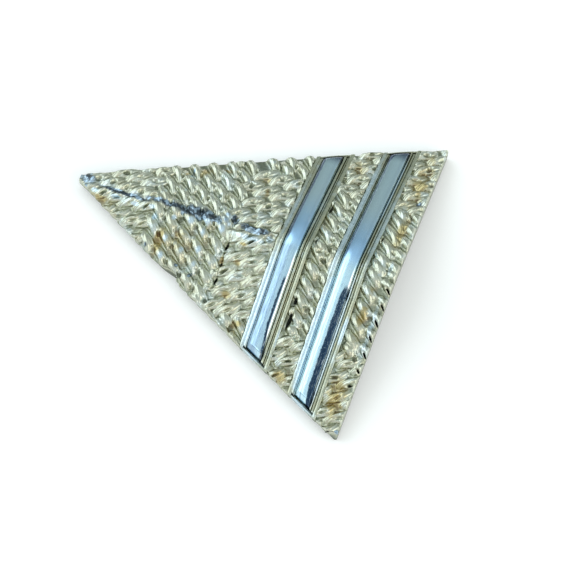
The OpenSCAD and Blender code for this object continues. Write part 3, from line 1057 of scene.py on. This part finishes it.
# Spots of the casting, in millimetres along the ridge and down the slope: place, reach along, reach
# across and strength, then how far the spot leans along the ridge for its length. WORN is slate
# blue, the chart after it is a painted bright bluish reflection on polished metal, and AMBER is
# tarnished.
WORN = (
    (1.5, 0.3, 3.5, 1.2, 0.8), (8.5, -0.35, 7, 0.45, 0.85), (17, 0.1, 9, 0.7, 0.8),
    (29.8, 0.1, 4, 0.7, 0.9), (20.5, 0.1, 7, 1.3, 0.85), (26.2, 0.9, 0.8, 1, 0.9),
    (13.9, 1.3, 0.8, 0.6, 0.55), (24.9, 1.2, 0.8, 0.8, 0.6), (42.9, 1.0, 0.8, 1.0, 0.5),
    (16.9, 1.1, 0.6, 0.8, 0.55), (19.7, 0.8, 0.8, 0.5, 0.6), (22.4, 1.7, 0.6, 0.5, 0.55),
    (25.2, 3.2, 0.4, 0.6, 0.5), (29, -1.4, 1.6, 0.7, 0.5), (28.2, 0.6, 1.5, 0.4, 0.7),
    (2.4, -0.9, 0.5, 0.3, 0.7), (8.7, -3.7, 0.6, 0.3, 0.6), (13.4, -5.6, 0.9, 0.4, 0.6),
    (51.4, 14, 0.7, 1.2, 0.8), (22.5, -9.4, 0.4, 0.5, 1.0), (20, -8.6, 0.5, 0.5, 0.8),
    (14.4, -6.9, 0.5, 0.7, 0.7), (16.9, 7.2, 0.4, 0.9, 0.7), (52, -25.6, 0.8, 0.6, 0.9),
)
SKY_GLINTS = (
    (51.6, -9, 0.6, 8, 0.6), (51.5, 0.5, 0.6, 2, 0.6), (42.9, -2.2, 0.9, 2.2, 0.55),
    (1, 0.2, 1.5, 0.8, 0.6), (14.2, -2.2, 0.5, 0.9, 0.8), (17, -5, 0.6, 1, 0.6),
    (17.2, -7.8, 0.6, 0.9, 0.7),
    (19.9, -1.2, 0.7, 0.8, 0.8), (20, -6, 0.6, 1, 0.6), (22.3, -2.5, 0.6, 1.2, 0.6),
    (22.5, -5.2, 0.6, 0.9, 0.7), (22.6, -7.6, 0.6, 0.9, 0.6), (25, -4, 0.5, 1.2, 0.5),
    (17.2, 6.5, 0.6, 1, 0.5), (27.8, 13.6, 0.6, 0.8, 0.5), (31.5, -1.2, 1.4, 0.5, 0.5),
    (24.9, -1.1, 0.6, 0.9, 0.8), (33, -4, 0.5, 1.5, 0.5), (29.5, -1.2, 3.5, 0.7, 0.65),
    (32.5, -0.6, 1, 0.8, 0.7),
    (4, -1.1, 0.9, 0.5, 0.75), (7.4, -1.2, 1.1, 0.5, 0.75), (10.6, -1.3, 1, 0.5, 0.75),
    (2.6, 0.9, 0.8, 0.4, 0.5), (13.4, -1, 0.8, 0.5, 0.7), (17.2, -1.6, 0.6, 0.7, 0.7),
    (22.4, -0.9, 0.6, 0.8, 0.7), (14.4, 2.2, 0.5, 1, 0.5), (17.2, 3.4, 0.5, 1, 0.5),
    (19.9, 3, 0.5, 0.9, 0.5), (22.5, 4.4, 0.5, 1, 0.5), (24.9, 2.6, 0.6, 0.9, 0.6),
)
AMBER = (
    (4.8, -2, 2.2, 0.6, 0.75, -1), (16, -5.7, 0.8, 2.4, 1.0), (18.5, -4, 0.8, 1, 0.7),
    (18.6, 7.9, 0.8, 1, 0.9), (16.2, 6.4, 0.5, 0.5, 0.8), (21.5, 9.7, 0.8, 0.4, 0.8),
    (28.9, -5.3, 0.8, 0.6, 0.8), (28.8, -10.6, 1.1, 0.8, 0.8), (28.9, -2.4, 0.8, 0.3, 0.8),
    (26.4, -5.6, 0.4, 0.9, 0.8), (28, 10.2, 0.7, 0.7, 0.7), (28.9, 7.6, 0.5, 0.7, 0.6),
    (50.7, 8, 0.9, 4, 0.8), (50.3, 17.5, 1.8, 2.2, 0.8), (50.2, 23.5, 1.4, 1.2, 0.5),
    (40.5, 17.5, 1.2, 1.5, 0.55), (49.9, -7.5, 0.9, 2.4, 0.8), (50, -20.5, 1.6, 4, 0.8),
    (32, -14.5, 1.4, 0.9, 0.7), (40.9, -20, 1.6, 1.6, 0.7), (50, -3.4, 0.8, 1.2, 0.6),
    (20, -5, 6, 4, 0.42), (30, -8, 3.5, 5, 0.3), (40.5, -9, 1.6, 8, 0.35),
    (50, -12, 1.5, 10, 0.35),
    (5, -2.5, 5, 1.5, 0.4), (50.4, 18, 1.9, 9, 0.55), (41, 17, 1.7, 5, 0.45),
)
# Polished spots of the plain casting beside the bars, where a bright bluish reflection is painted on
SHEEN_SPOTS = (
    (34, -10, 0.9, 10, 1.0), (43.6, -12, 1.1, 12, 1.0), (33.9, 6, 0.7, 12, 0.56),
    (43.1, 8, 0.7, 18, 0.8), (38.5, 5, 0.6, 16, 0.35), (47.9, 8, 0.6, 16, 0.6),
    (38.6, -15, 0.4, 3, 0.6), (47.9, -11, 0.6, 3, 0.9),
    (46.9, 15, 0.25, 8, 0.9), (46.9, -13, 0.25, 11, 1.2), (37.6, -10, 0.3, 10, 0.45),
    (36, -18.65, 1.2, 1.5, 0.72, -2), (45.4, -23.4, 1.2, 1.5, 0.72, -2),
    (37.8, 8, 0.45, 11, 0.5), (47.4, 9, 0.45, 13, 0.5),
)
# Old gold of the low steps beside the bars
TINTED = (
    (37.8, 8, 0.5, 11, 0.35), (37.8, -10, 0.5, 12, 0.4), (47.3, 16, 0.5, 4, 0.5),
    (47.3, -12, 0.5, 12, 0.35),
)
# Low steps in the inner and the outer bar's channel, in millimetres: from and to across it, and
# height
CHANNEL_STEPS = (
    ((-2.1, -1.6, 0.82), (1.32, 1.7, 0.9), (1.74, 2.0, 0.55)),
    ((-2.1, -1.77, 0.84), (-1.77, -1.57, 0.62), (1.36, 1.58, 1.0), (1.64, 2.0, 0.6)),
)
# Smooth spots where the casting has no relief
BLANK = ((26.6, -1.4, 1.1, 0.8, 0.95), (42.9, -1.5, 0.6, 1.3, 0.8))
# Spots where the relief is shallow
SHALLOW = ((30, -7, 4, 5.2, 1.0),)
# Deep gaps, with painted shade at their bottom
GAPS = (
    (26.5, -3.5, 0.2, 0.8, 1.0), (26.6, -9.1, 0.18, 0.8, 1.0), (26.55, -6.4, 0.16, 0.35, 0.9),
    (26.5, -5, 0.08, 3.5, 0.5), (39.3, -8.4, 0.3, 0.6, 1.0), (39.35, -11.6, 0.3, 1.7, 1.0, 0.1),
    (39.1, 8.5, 0.16, 0.8, 0.8), (39.2, 1.6, 0.16, 0.6, 0.8), (22.3, 4.4, 0.3, 0.12, 0.7, -0.6),
    (51.75, -2.8, 0.16, 0.6, 1.0, -0.5), (51.75, -5.4, 0.16, 0.6, 1.0, -0.5),
    (51.75, -8.0, 0.16, 0.6, 1.0, -0.5), (51.75, -10.6, 0.16, 0.55, 1.0, -0.5),
    (51.75, -13.2, 0.16, 0.55, 1.0, -0.5), (51.7, -15.8, 0.16, 0.45, 0.9, -0.5),
    (51.3, -18.3, 0.35, 0.25, 0.9, 0.5), (39.3, 20.5, 0.2, 0.3, 0.8), (48.5, 5.5, 0.12, 0.7, 0.7),
)
# Small hollow of each strand, for the upper and the lower slope and for ropes across and along the
# ridge: place along the strand and towards its loop, reach along and across, and depth as a share
PITS = {
    (1, False): (1.5, 0.4, 0.35, 0.2, 0.4), (1, True): (0.05, 0.3, 0.5, 0.3, 0.5),
    (-1, False): (1.7, 0.35, 0.5, 0.42, 0.55), (-1, True): (0, 0.25, 0.7, 0.22, 0.5),
}
# Height of a strand's side above which a valley ends, depth of a valley below what is around it,
# height from which crests are worn round and how far they then still rise, height in shallow and in
# blank spots, and how far in from the long edges and the base the relief is rounded
VALLEY_TOP = 0.35 * MM
VALLEY_DEPTH = 0.42 * MM
CREST_FROM = 0.95 * MM
CREST_RISE = 0.4 * MM
SHALLOW_H = 0.8 * MM
BLANK_H = 0.75 * MM
EDGE_REACH = 0.35 * MM
BASE_REACH = 0.3 * MM


def pitted(rows, u, v, seed):
    """Depth of the strands' small hollows, as a share of the height, at places in metres."""
    total = np.zeros(len(u))
    ragged = 0.25 * np.sin(5.1 * u / MM + 3 * np.sin(3.3 * v / MM)) * np.sin(6.3 * v / MM + 1)
    uneven = np.random.default_rng(seed).uniform(-1, 1, (len(rows), 5))
    for (u0, v0, turn, hand, _), chance in zip(rows, uneven):
        du, dv = u / MM - u0, v / MM - v0
        near = np.flatnonzero(np.abs(du) + np.abs(dv) < 3)
        if len(near):
            du, dv = du[near], dv[near]
            x = du * math.cos(turn) + dv * math.sin(turn)
            y = math.copysign(1, hand) * (dv * math.cos(turn) - du * math.sin(turn))
            x0, y0, reach_x, reach_y, depth = PITS[math.copysign(1, v0), hand < 0]
            x, y = x - x0 - 0.12 * chance[0], y - y0 - 0.07 * chance[1]
            y = y - 0.35 * chance[2] * x
            away = (x / reach_x) ** 2 + (y / (reach_y * (1 + 0.3 * chance[3]))) ** 2
            away = np.maximum(away * (1 + ragged[near]), 0)
            depth = depth * (0.85 + 0.3 * chance[4])
            total[near] = np.maximum(total[near], depth * np.exp(-away ** 1.5))
    return total


def charted(chart, u, v):
    """Strength of a chart's spots at places in metres."""
    total = np.zeros(len(u))
    for u0, v0, reach_u, reach_v, strength, *lean in chart:
        du, dv = u / MM - u0, v / MM - v0
        if lean:
            du = du - lean[0] * dv
        away = (du / reach_u) ** 2 + (dv / reach_v) ** 2
        total = np.maximum(total, strength * np.exp(-away))
    return total


def ground_grid(roof, u0, u1, step):
    """Points and faces of the flat ground between two places along the ridge, and its columns:
    first point, number of points, and the row that lies on the ridge."""
    points, columns = [], []
    for u in np.linspace(u0, u1, max(2, round((u1 - u0) / step) + 1)):
        low, high = roof.side_v(u, -1), roof.side_v(u, 1)
        inner = np.arange(math.ceil(low / step + 0.4), math.floor(high / step - 0.4) + 1)
        places = [low, *(inner * step), high]
        start = -int(inner[0]) + 1 if len(inner) else 1
        columns.append((len(points), len(places), start))
        points.extend((u, v, 0.0) for v in places)
    faces = []
    for (a, n, a0), (b, m, b0) in zip(columns, columns[1:]):
        # Rows that both columns have are numbered from the ridge
        lowest, highest = max(-a0, -b0), min(n - 1 - a0, m - 1 - b0)
        for row in range(lowest, highest):
            i, j = a + a0 + row, b + b0 + row
            faces.append((i, j, j + 1, i + 1))
        i, j = a + a0 + lowest, b + b0 + lowest
        faces.extend((i, j - k - 1, j - k) for k in range(j - b))
        faces.extend((i - k - 1, j, i - k) for k in range(i - a))
        i, j = a + a0 + highest, b + b0 + highest
        faces.extend((i, j + k, j + k + 1) for k in range(b + m - 1 - j))
        faces.extend((i + k, j, i + k + 1) for k in range(a + n - 1 - i))
    return points, faces, columns


def edge_round(away, reach):
    """Share of the height that is left near an edge, like a quarter circle."""
    near = 1 - np.clip(away / reach, 0, 1)
    return 0.4 + 0.6 * np.sqrt(1 - near ** 2)


def worn_relief(mesh, u, v, h, rows, seed):
    """Heights of the cast skin with small hollows and worn crests, and how far each point lies in a
    valley, small hollows included, which the gold finish darkens as painted shade."""
    raw, around = values_of(mesh, "raw"), values_of(mesh, "around")
    valley = np.clip((around - raw) / VALLEY_DEPTH, 0, 1)
    valley = np.maximum(valley, np.clip(1.3 - h / VALLEY_TOP, 0, 1))
    shallow, pit = charted(SHALLOW, u, v), pitted(rows, u, v, seed)
    h = (h + (SHALLOW_H - h) * 0.5 * shallow) * (1 - pit)
    worn = CREST_FROM + CREST_RISE * np.tanh((h - CREST_FROM) / CREST_RISE)
    h = np.where(h > CREST_FROM, worn, h)
    return h, np.maximum(valley * (1 - 0.1 * shallow), np.clip(1.25 * pit, 0, 1))


def relief_patch(name, roof, ropes, u0, u1, seats, rows, tree, made, material, last):
    """Cast relief between two places along the ridge: laid flat, then folded onto the slopes. The
    last one reaches the base."""
    points, faces, columns = ground_grid(roof, u0, u1, ropes.grid)
    piece = new_piece(name, points, faces, material)
    modifier = piece.modifiers.new("Cast relief", "NODES")
    modifier.node_group = tree
    modifier[made["Seats"].identifier] = seats
    modifier[made["Metal"].identifier] = material
    plain(piece)
    flat = piece.data
    u, v, h = points_of(flat).T
    h, valley = worn_relief(flat, u, v, h, rows, ropes.seed)
    ends = {place: (roof.side_v(place, -1), roof.side_v(place, 1)) for place in np.unique(u)}
    low, high = np.array([ends[place] for place in u]).T
    h = h * edge_round(np.minimum(v - low, high - v), EDGE_REACH)
    blank, gap = np.clip(1.6 * charted(BLANK, u, v), 0, 1), charted(GAPS, u, v)
    h = h + (BLANK_H - h) * blank
    valley = valley * (1 - blank)
    h = h * (1 - 0.85 * gap)
    if last:
        h = h * edge_round(u1 - u, BASE_REACH)
        u = roof.stretched(u, v, u0, u1)
    top = roof.kept_in(roof.place(u, v, h))
    base = roof.kept_in(roof.place(u, v, -ROOT))
    # Walls down into the plate and a floor inside it, so that the piece is closed
    rim, floor = rim_and_floor(columns, v, roof.reach)
    below = rim + floor
    number = {old: len(top) + new for new, old in enumerate(below)}
    walls = [(b, a, number[a], number[b]) for a, b in zip(rim, rim[1:] + rim[:1])]
    bottom = floor_faces(columns, v, roof.reach, number)
    skin = [tuple(p.vertices) for p in flat.polygons]
    built = bpy.data.meshes.new(name)
    built.from_pydata(np.vstack([top, base[below]]).tolist(), [], skin + walls + bottom)
    built.materials.append(material)
    # The valley and gap marks carry painted shade, the bright bluish mark a painted reflection
    for attribute, values, hidden in (
            ("valley", valley, 1.0), ("wear", charted(WORN, u, v), 0.0),
            ("amber", charted(AMBER, u, v), 0.0), ("gap", gap, 0.0), ("ice", charted(SKY_GLINTS, u, v), 0.0)):
        store(built, attribute, np.concatenate([values, np.full(len(below), hidden)]))
    swap_mesh(piece, built)
    built.shade_smooth()
    built.set_sharp_from_angle(angle=math.radians(60))
    return piece


def floor_rows(column, v, reach):
    """Rows of a column at which the floor has points: both ends and a few near the ridge."""
    first, count, _ = column
    rows = {0, count - 1}
    for place in (-reach, -reach / 2, 0, reach / 2, reach):
        if v[first] < place < v[first + count - 1]:
            rows.add(int(np.argmin(np.abs(v[first:first + count] - place))))
    return sorted(rows)


def rim_and_floor(columns, v, reach):
    """Points round the edge in order, and the floor's points away from the edge."""
    first, last = columns[0], columns[-1]
    rim = [c[0] for c in columns]
    rim += [last[0] + row for row in range(1, last[1])]
    rim += [c[0] + c[1] - 1 for c in columns[-2::-1]]
    rim += [first[0] + row for row in range(first[1] - 2, 0, -1)]
    floor = [c[0] + row for c in columns[1:-1] for row in floor_rows(c, v, reach)[1:-1]]
    return rim, floor


def floor_faces(columns, v, reach, number):
    """Faces of the floor: strips between neighbouring columns, seen from below."""
    faces = []
    for a, b in zip(columns, columns[1:]):
        left = floor_rows(a, v, reach)
        right = floor_rows(b, v, reach)
        if len(left) != len(right):
            left, right = (left[0], left[-1]), (right[0], right[-1])
        for i in range(len(left) - 1):
            rows_a = range(left[i], left[i + 1] + 1) if a is columns[0] else (left[i], left[i + 1])
            rows_b = range(right[i], right[i + 1] + 1) if b is columns[-1] else (right[i], right[i + 1])
            corners = [number[a[0] + row] for row in rows_a]
            corners += [number[b[0] + row] for row in reversed(rows_b)]
            faces.append(tuple(corners))
    return faces


class Step:
    """What the operators share."""

    bl_options = {"REGISTER", "UNDO"}


# Places beside the bars, in metres: half width of a channel's groove that gets painted shade, its
# lowest and highest point, the low step's nearest and farthest side and its top, and the level
# below which the plain walls get painted shade
GROOVE_HALF, GROOVE_LOW, GROOVE_HIGH = 1.95 * MM, -0.2 * MM, 0.55 * MM
STEP_NEAR, STEP_FAR, STEP_TOP = 1.25 * MM, 2.05 * MM, 0.7 * MM
WALL_TOP = -0.15 * MM
# Middle and half width of the band beside the inner bar that gets no painted shade
CLEAN_AT, CLEAN_HALF = 38 * MM, 0.7 * MM


def mark_shell(mesh, roof, bars):
    """Stores where the shell's polished metal gets a painted reflection, where it is tarnished, and
    where painted shade darkens its grooves, low steps and walls.
    """
    u, v, h = roof.found(points_of(mesh))
    away = np.minimum(np.abs(u - bars.inner_u), np.abs(u - bars.outer_u))
    groove = (away < GROOVE_HALF) & (h > GROOVE_LOW) & (h < GROOVE_HIGH)
    groove = groove & (np.abs(u - CLEAN_AT) > CLEAN_HALF)
    low_step = (u > bars.inner_u) & (away > STEP_NEAR) & (away < STEP_FAR) & (h < STEP_TOP)
    # Polished spots beside the bars, where a bright reflection is painted on
    polished = charted(SHEEN_SPOTS, u, v)
    # Painted shade in the grooves beside the bars and on the low steps, kept out of the polished spots
    valley = np.where(groove & (polished < 0.3), 0.45, np.where(low_step, 0.28, 0.25))
    store(mesh, "ice", polished)
    store(mesh, "wear", np.zeros(len(u)))
    store(mesh, "amber", charted(TINTED, u, v))
    # Painted shade on the walls below the ground
    store(mesh, "valley", np.where(h < WALL_TOP, 0.7, valley))
    # Painted shade, darkest, in the grooves of the upper half, kept out of the polished spots
    store(mesh, "gap", np.where(groove & (v > 0), 0.3, 0.0) * (1 - polished))


class BROOCH_OT_shell(Step, bpy.types.Operator):
    """Builds the folded plate with its rim, ledges and lips"""

    bl_idname = "brooch.shell"
    bl_label = "Cast shell"

    def execute(self, context):
        scene = context.scene
        shell, bars = scene.brooch_shell, scene.brooch_bars
        roof = Roof(shell)
        gold = gold_finish(scene.brooch_finishes)
        parts = [plate(roof, gold)]
        half, crown = shell.ledge_w / 2, shell.ledge_h
        ledge = [(-half, -ROOT), (half, -ROOT), (half, crown - SOFT_EDGE),
                 (half - SOFT_EDGE, crown), (SOFT_EDGE - half, crown), (-half, crown - SOFT_EDGE)]
        for at, steps in zip((bars.inner_u, bars.outer_u), CHANNEL_STEPS):
            for side in (-1, 1):
                middle = at + side * (bars.unit_w - shell.ledge_w) / 2
                parts.append(strip("ledge", roof, ledge, middle, 0.0, gold))
            for low, high, rise in steps:
                step = [(low * MM, -ROOT), (high * MM, -ROOT), (high * MM, rise * MM),
                        (low * MM, rise * MM)]
                parts.append(strip("step", roof, step, at, shell.lip_t, gold))
            parts.extend(lips(roof, shell, bars, at, gold))
        for part in parts:
            bevel = part.modifiers.new("Bevel", "BEVEL")
            bevel.width, bevel.segments = BEVEL_W, 2
            bevel.limit_method, bevel.angle_limit = "ANGLE", math.radians(35)
            plain(part)
        body = joined("shell_body", parts)
        inside = np.clip(points_of(body.data), *(np.array(end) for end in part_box("cast_shell")))
        body.data.vertices.foreach_set("co", inside.ravel())
        mark_shell(body.data, roof, bars)
        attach(body, "root")
        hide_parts("cast_shell")
        return {"FINISHED"}


class BROOCH_OT_ropes(Step, bpy.types.Operator):
    """Sets the rope strands and casts their relief"""

    bl_idname = "brooch.ropes"
    bl_label = "Rope relief"

    def execute(self, context):
        scene = context.scene
        shell, ropes, bars = scene.brooch_shell, scene.brooch_ropes, scene.brooch_bars
        roof = Roof(shell)
        tree, made = relief_tree(ropes)
        gold = bpy.data.materials["cast gold tone"]
        rows = strand_seats(shell, ropes, bars)
        mesh = bpy.data.meshes.new("strand seats")
        mesh.from_pydata([(row[0] * MM, row[1] * MM, 0) for row in rows], [], [])
        for place, attribute in enumerate(("turn", "hand", "size")):
            store(mesh, attribute, [row[2 + place] for row in rows])
        seats = bpy.data.objects.new("strand seats", mesh)
        scene.collection.objects.link(seats)
        sides = {name: place * MM for name, place in channel_sides(bars).items()}
        for name, u0, u1 in (("relief_apex", roof.start_u(), sides["inner from"]),
                             ("relief_middle", sides["inner to"], sides["outer from"]),
                             ("relief_base", sides["outer to"], shell.ridge_len)):
            piece = relief_patch(name, roof, ropes, u0, u1, seats, rows, tree, made, gold,
                                 last=name == "relief_base")
            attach(piece, "root")
        bpy.data.objects.remove(seats)
        return {"FINISHED"}


def bar_profile(bars):
    """Section of a bar: places along the ridge and heights, with a different curve on each side."""
    radius = bars.bar_w / 2
    straight = bars.bar_h - radius
    profile = [(-radius, bars.gap), (radius, bars.gap)]
    for turn in np.linspace(0, math.pi, 25):
        power = 2 / (bars.far_dome if turn < math.pi / 2 else bars.dome)
        profile.append((radius * math.copysign(abs(math.cos(turn)) ** power, math.cos(turn)),
                        bars.gap + straight + radius * abs(math.sin(turn)) ** power))
    return profile


def bar_uv(piece, roof, at):
    """UV map in millimetres: U across the bar from its middle, V down the slope."""
    mesh = piece.data
    u, v, _ = roof.found(points_of(mesh))
    layer = mesh.uv_layers.new(name="bar")
    index = np.zeros(len(mesh.loops), np.int32)
    mesh.loops.foreach_get("vertex_index", index)
    flat = np.column_stack([(u - at) / MM, v / MM])[index]
    layer.data.foreach_set("uv", flat.ravel())


class BROOCH_OT_bars(Step, bpy.types.Operator):
    """Builds the two polished bars, bent over the ridge"""

    bl_idname = "brooch.bars"
    bl_label = "Polished bars"

    def execute(self, context):
        scene = context.scene
        shell, bars = scene.brooch_shell, scene.brooch_bars
        roof = Roof(shell, bars.bend_reach)
        profile = bar_profile(bars)
        for name, node, at in (
                ("polished_inner_bar", "inner_bar", bars.inner_u + bars.inner_shift),
                ("polished_outer_bar", "outer_bar", bars.outer_u + bars.outer_shift)):
            silver = silver_finish(
                "polished silver tone of " + node, scene.brooch_finishes, **BAR_MARKS[node])
            piece = strip(name, roof, profile, at, shell.lip_t + bars.gap, silver,
                          stations=120, rounded=BAR_SLOPE)
            bar_uv(piece, roof, at)
            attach(piece, "root")
            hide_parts(node)
        return {"FINISHED"}


class BROOCH_OT_pin(Step, bpy.types.Operator):
    """Finishes the bar pin in the hollow back"""

    bl_idname = "brooch.pin"
    bl_label = "Bar pin"

    def execute(self, context):
        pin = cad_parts["bar_pin"]
        pin.data.materials.clear()
        pin.data.materials.append(steel_finish(context.scene.brooch_finishes))
        return {"FINISHED"}


# Width of the camera's sensor, in millimetres
SENSOR_W = 36
# Soft lights: name, place in metres, side in metres, power in watts and colour
LAMPS = (
    ("key light", (-0.8, 0, 0.6), 1.2, 6, (0.88, 0.96, 1)),
    ("fill light", (0.8, -0.2, 0.4), 1, 4, (1, 0.96, 0.88)),
)


def area_light(name, place, side, power, color):
    """A square light that points at the brooch."""
    light = bpy.data.lights.new(name, "AREA")
    light.shape = "RECTANGLE"
    light.size = light.size_y = side
    light.energy = power
    light.color = color
    lamp = bpy.data.objects.new(name, light)
    lamp.location = place
    lamp.rotation_mode = "QUATERNION"
    lamp.rotation_quaternion = (Vector() - Vector(place)).to_track_quat("-Z", "Y")
    bpy.context.scene.collection.objects.link(lamp)


def pale_floor(stage):
    material, graph, shader = new_finish("pale floor")
    cloudy = graph.noise(graph.place(), 30)
    shade = graph.blend(cloudy, stage.floor_color, dimmed(stage.floor_color, 0.97))
    graph.fill(shader, {"Base Color": shade, "Roughness": 0.8, "Emission Color": (1, 1, 1, 1),
                        "Emission Strength": 0.12})
    half, low = stage.floor_side / 2, -0.05 * MM
    corners = [(-half, -half, low), (half, -half, low), (half, half, low), (-half, half, low)]
    return new_piece("floor", corners, [(0, 1, 2, 3)], material)


def soft_room(stage):
    """A world that is bright on one side and white to the camera."""
    world = bpy.data.worlds.new("soft room")
    world.use_nodes = True
    graph = Graph(world.node_tree)
    direction = graph.add("ShaderNodeTexCoord", output="Generated")
    sideways = graph.add("ShaderNodeSeparateXYZ", {}, {"Vector": direction})
    far, up = graph.other(sideways, "Y"), graph.other(sideways, "Z")
    facing = 0.55 * up - 0.75 * far + 0.25 * sideways
    sky = graph.blend(graph.ramp(facing, -0.55, 0.05), stage.sky_low, stage.sky_side)
    sky = graph.blend(graph.ramp(facing, 0.0, 0.6), sky, stage.sky_high)
    sky = graph.blend(graph.ramp(facing, 0.6, 1.0), sky, stage.sky_bright)
    seen = graph.add("ShaderNodeLightPath", output="Is Camera Ray")
    sky = graph.blend(seen, sky, (1, 1, 1))
    graph.fill(world.node_tree.nodes["Background"], {"Color": sky, "Strength": 1.0})
    return world


def photo_camera(stage):
    camera = bpy.data.cameras.new("camera")
    camera.lens, camera.sensor_width = stage.lens, SENSOR_W
    camera.clip_start, camera.clip_end = 0.01, 10
    viewer = bpy.data.objects.new("camera", camera)
    azimuth, elevation = stage.azimuth, stage.elevation
    back = Vector((math.sin(azimuth) * math.cos(elevation),
                   -math.cos(azimuth) * math.cos(elevation), math.sin(elevation)))
    turned = (-back).to_track_quat("-Z", "Y").to_matrix() @ Matrix.Rotation(stage.roll, 3, "Z")
    place = Matrix.Translation(Vector(stage.target) + back * stage.distance)
    viewer.matrix_world = place @ turned.to_4x4()
    bpy.context.scene.collection.objects.link(viewer)
    return viewer


class BROOCH_OT_stage(Step, bpy.types.Operator):
    """Sets up floor, light and camera"""

    bl_idname = "brooch.stage"
    bl_label = "Stage"

    def execute(self, context):
        scene = context.scene
        stage = scene.brooch_stage
        floor = pale_floor(stage)
        scene.world = soft_room(stage)
        for lamp in LAMPS:
            area_light(*lamp)
        scene.camera = photo_camera(stage)
        scene.view_settings.view_transform = "Standard"
        return {"FINISHED"}


class BROOCH_PT_panel(bpy.types.Panel):
    """Lists the steps that build the brooch"""

    bl_idname = "BROOCH_PT_panel"
    bl_label = "Mixed metal brooch"
    bl_space_type = "VIEW_3D"
    bl_region_type = "UI"
    bl_category = "Brooch"

    def draw(self, context):
        for step in STEPS:
            self.layout.operator(step.bl_idname)


STEPS = (BROOCH_OT_stage, BROOCH_OT_shell, BROOCH_OT_ropes, BROOCH_OT_bars, BROOCH_OT_pin)


def register():
    for name, group in SETTINGS:
        bpy.utils.register_class(group)
        setattr(bpy.types.Scene, name, PointerProperty(type=group))
    for kind in (*STEPS, BROOCH_PT_panel):
        bpy.utils.register_class(kind)


def unregister():
    for kind in (BROOCH_PT_panel, *reversed(STEPS)):
        bpy.utils.unregister_class(kind)
    for name, group in reversed(SETTINGS):
        delattr(bpy.types.Scene, name)
        bpy.utils.unregister_class(group)


def main():
    register()
    bpy.ops.brooch.stage()
    bpy.ops.brooch.shell()
    bpy.ops.brooch.ropes()
    bpy.ops.brooch.bars()
    bpy.ops.brooch.pin()


if __name__ == "__main__":
    main()
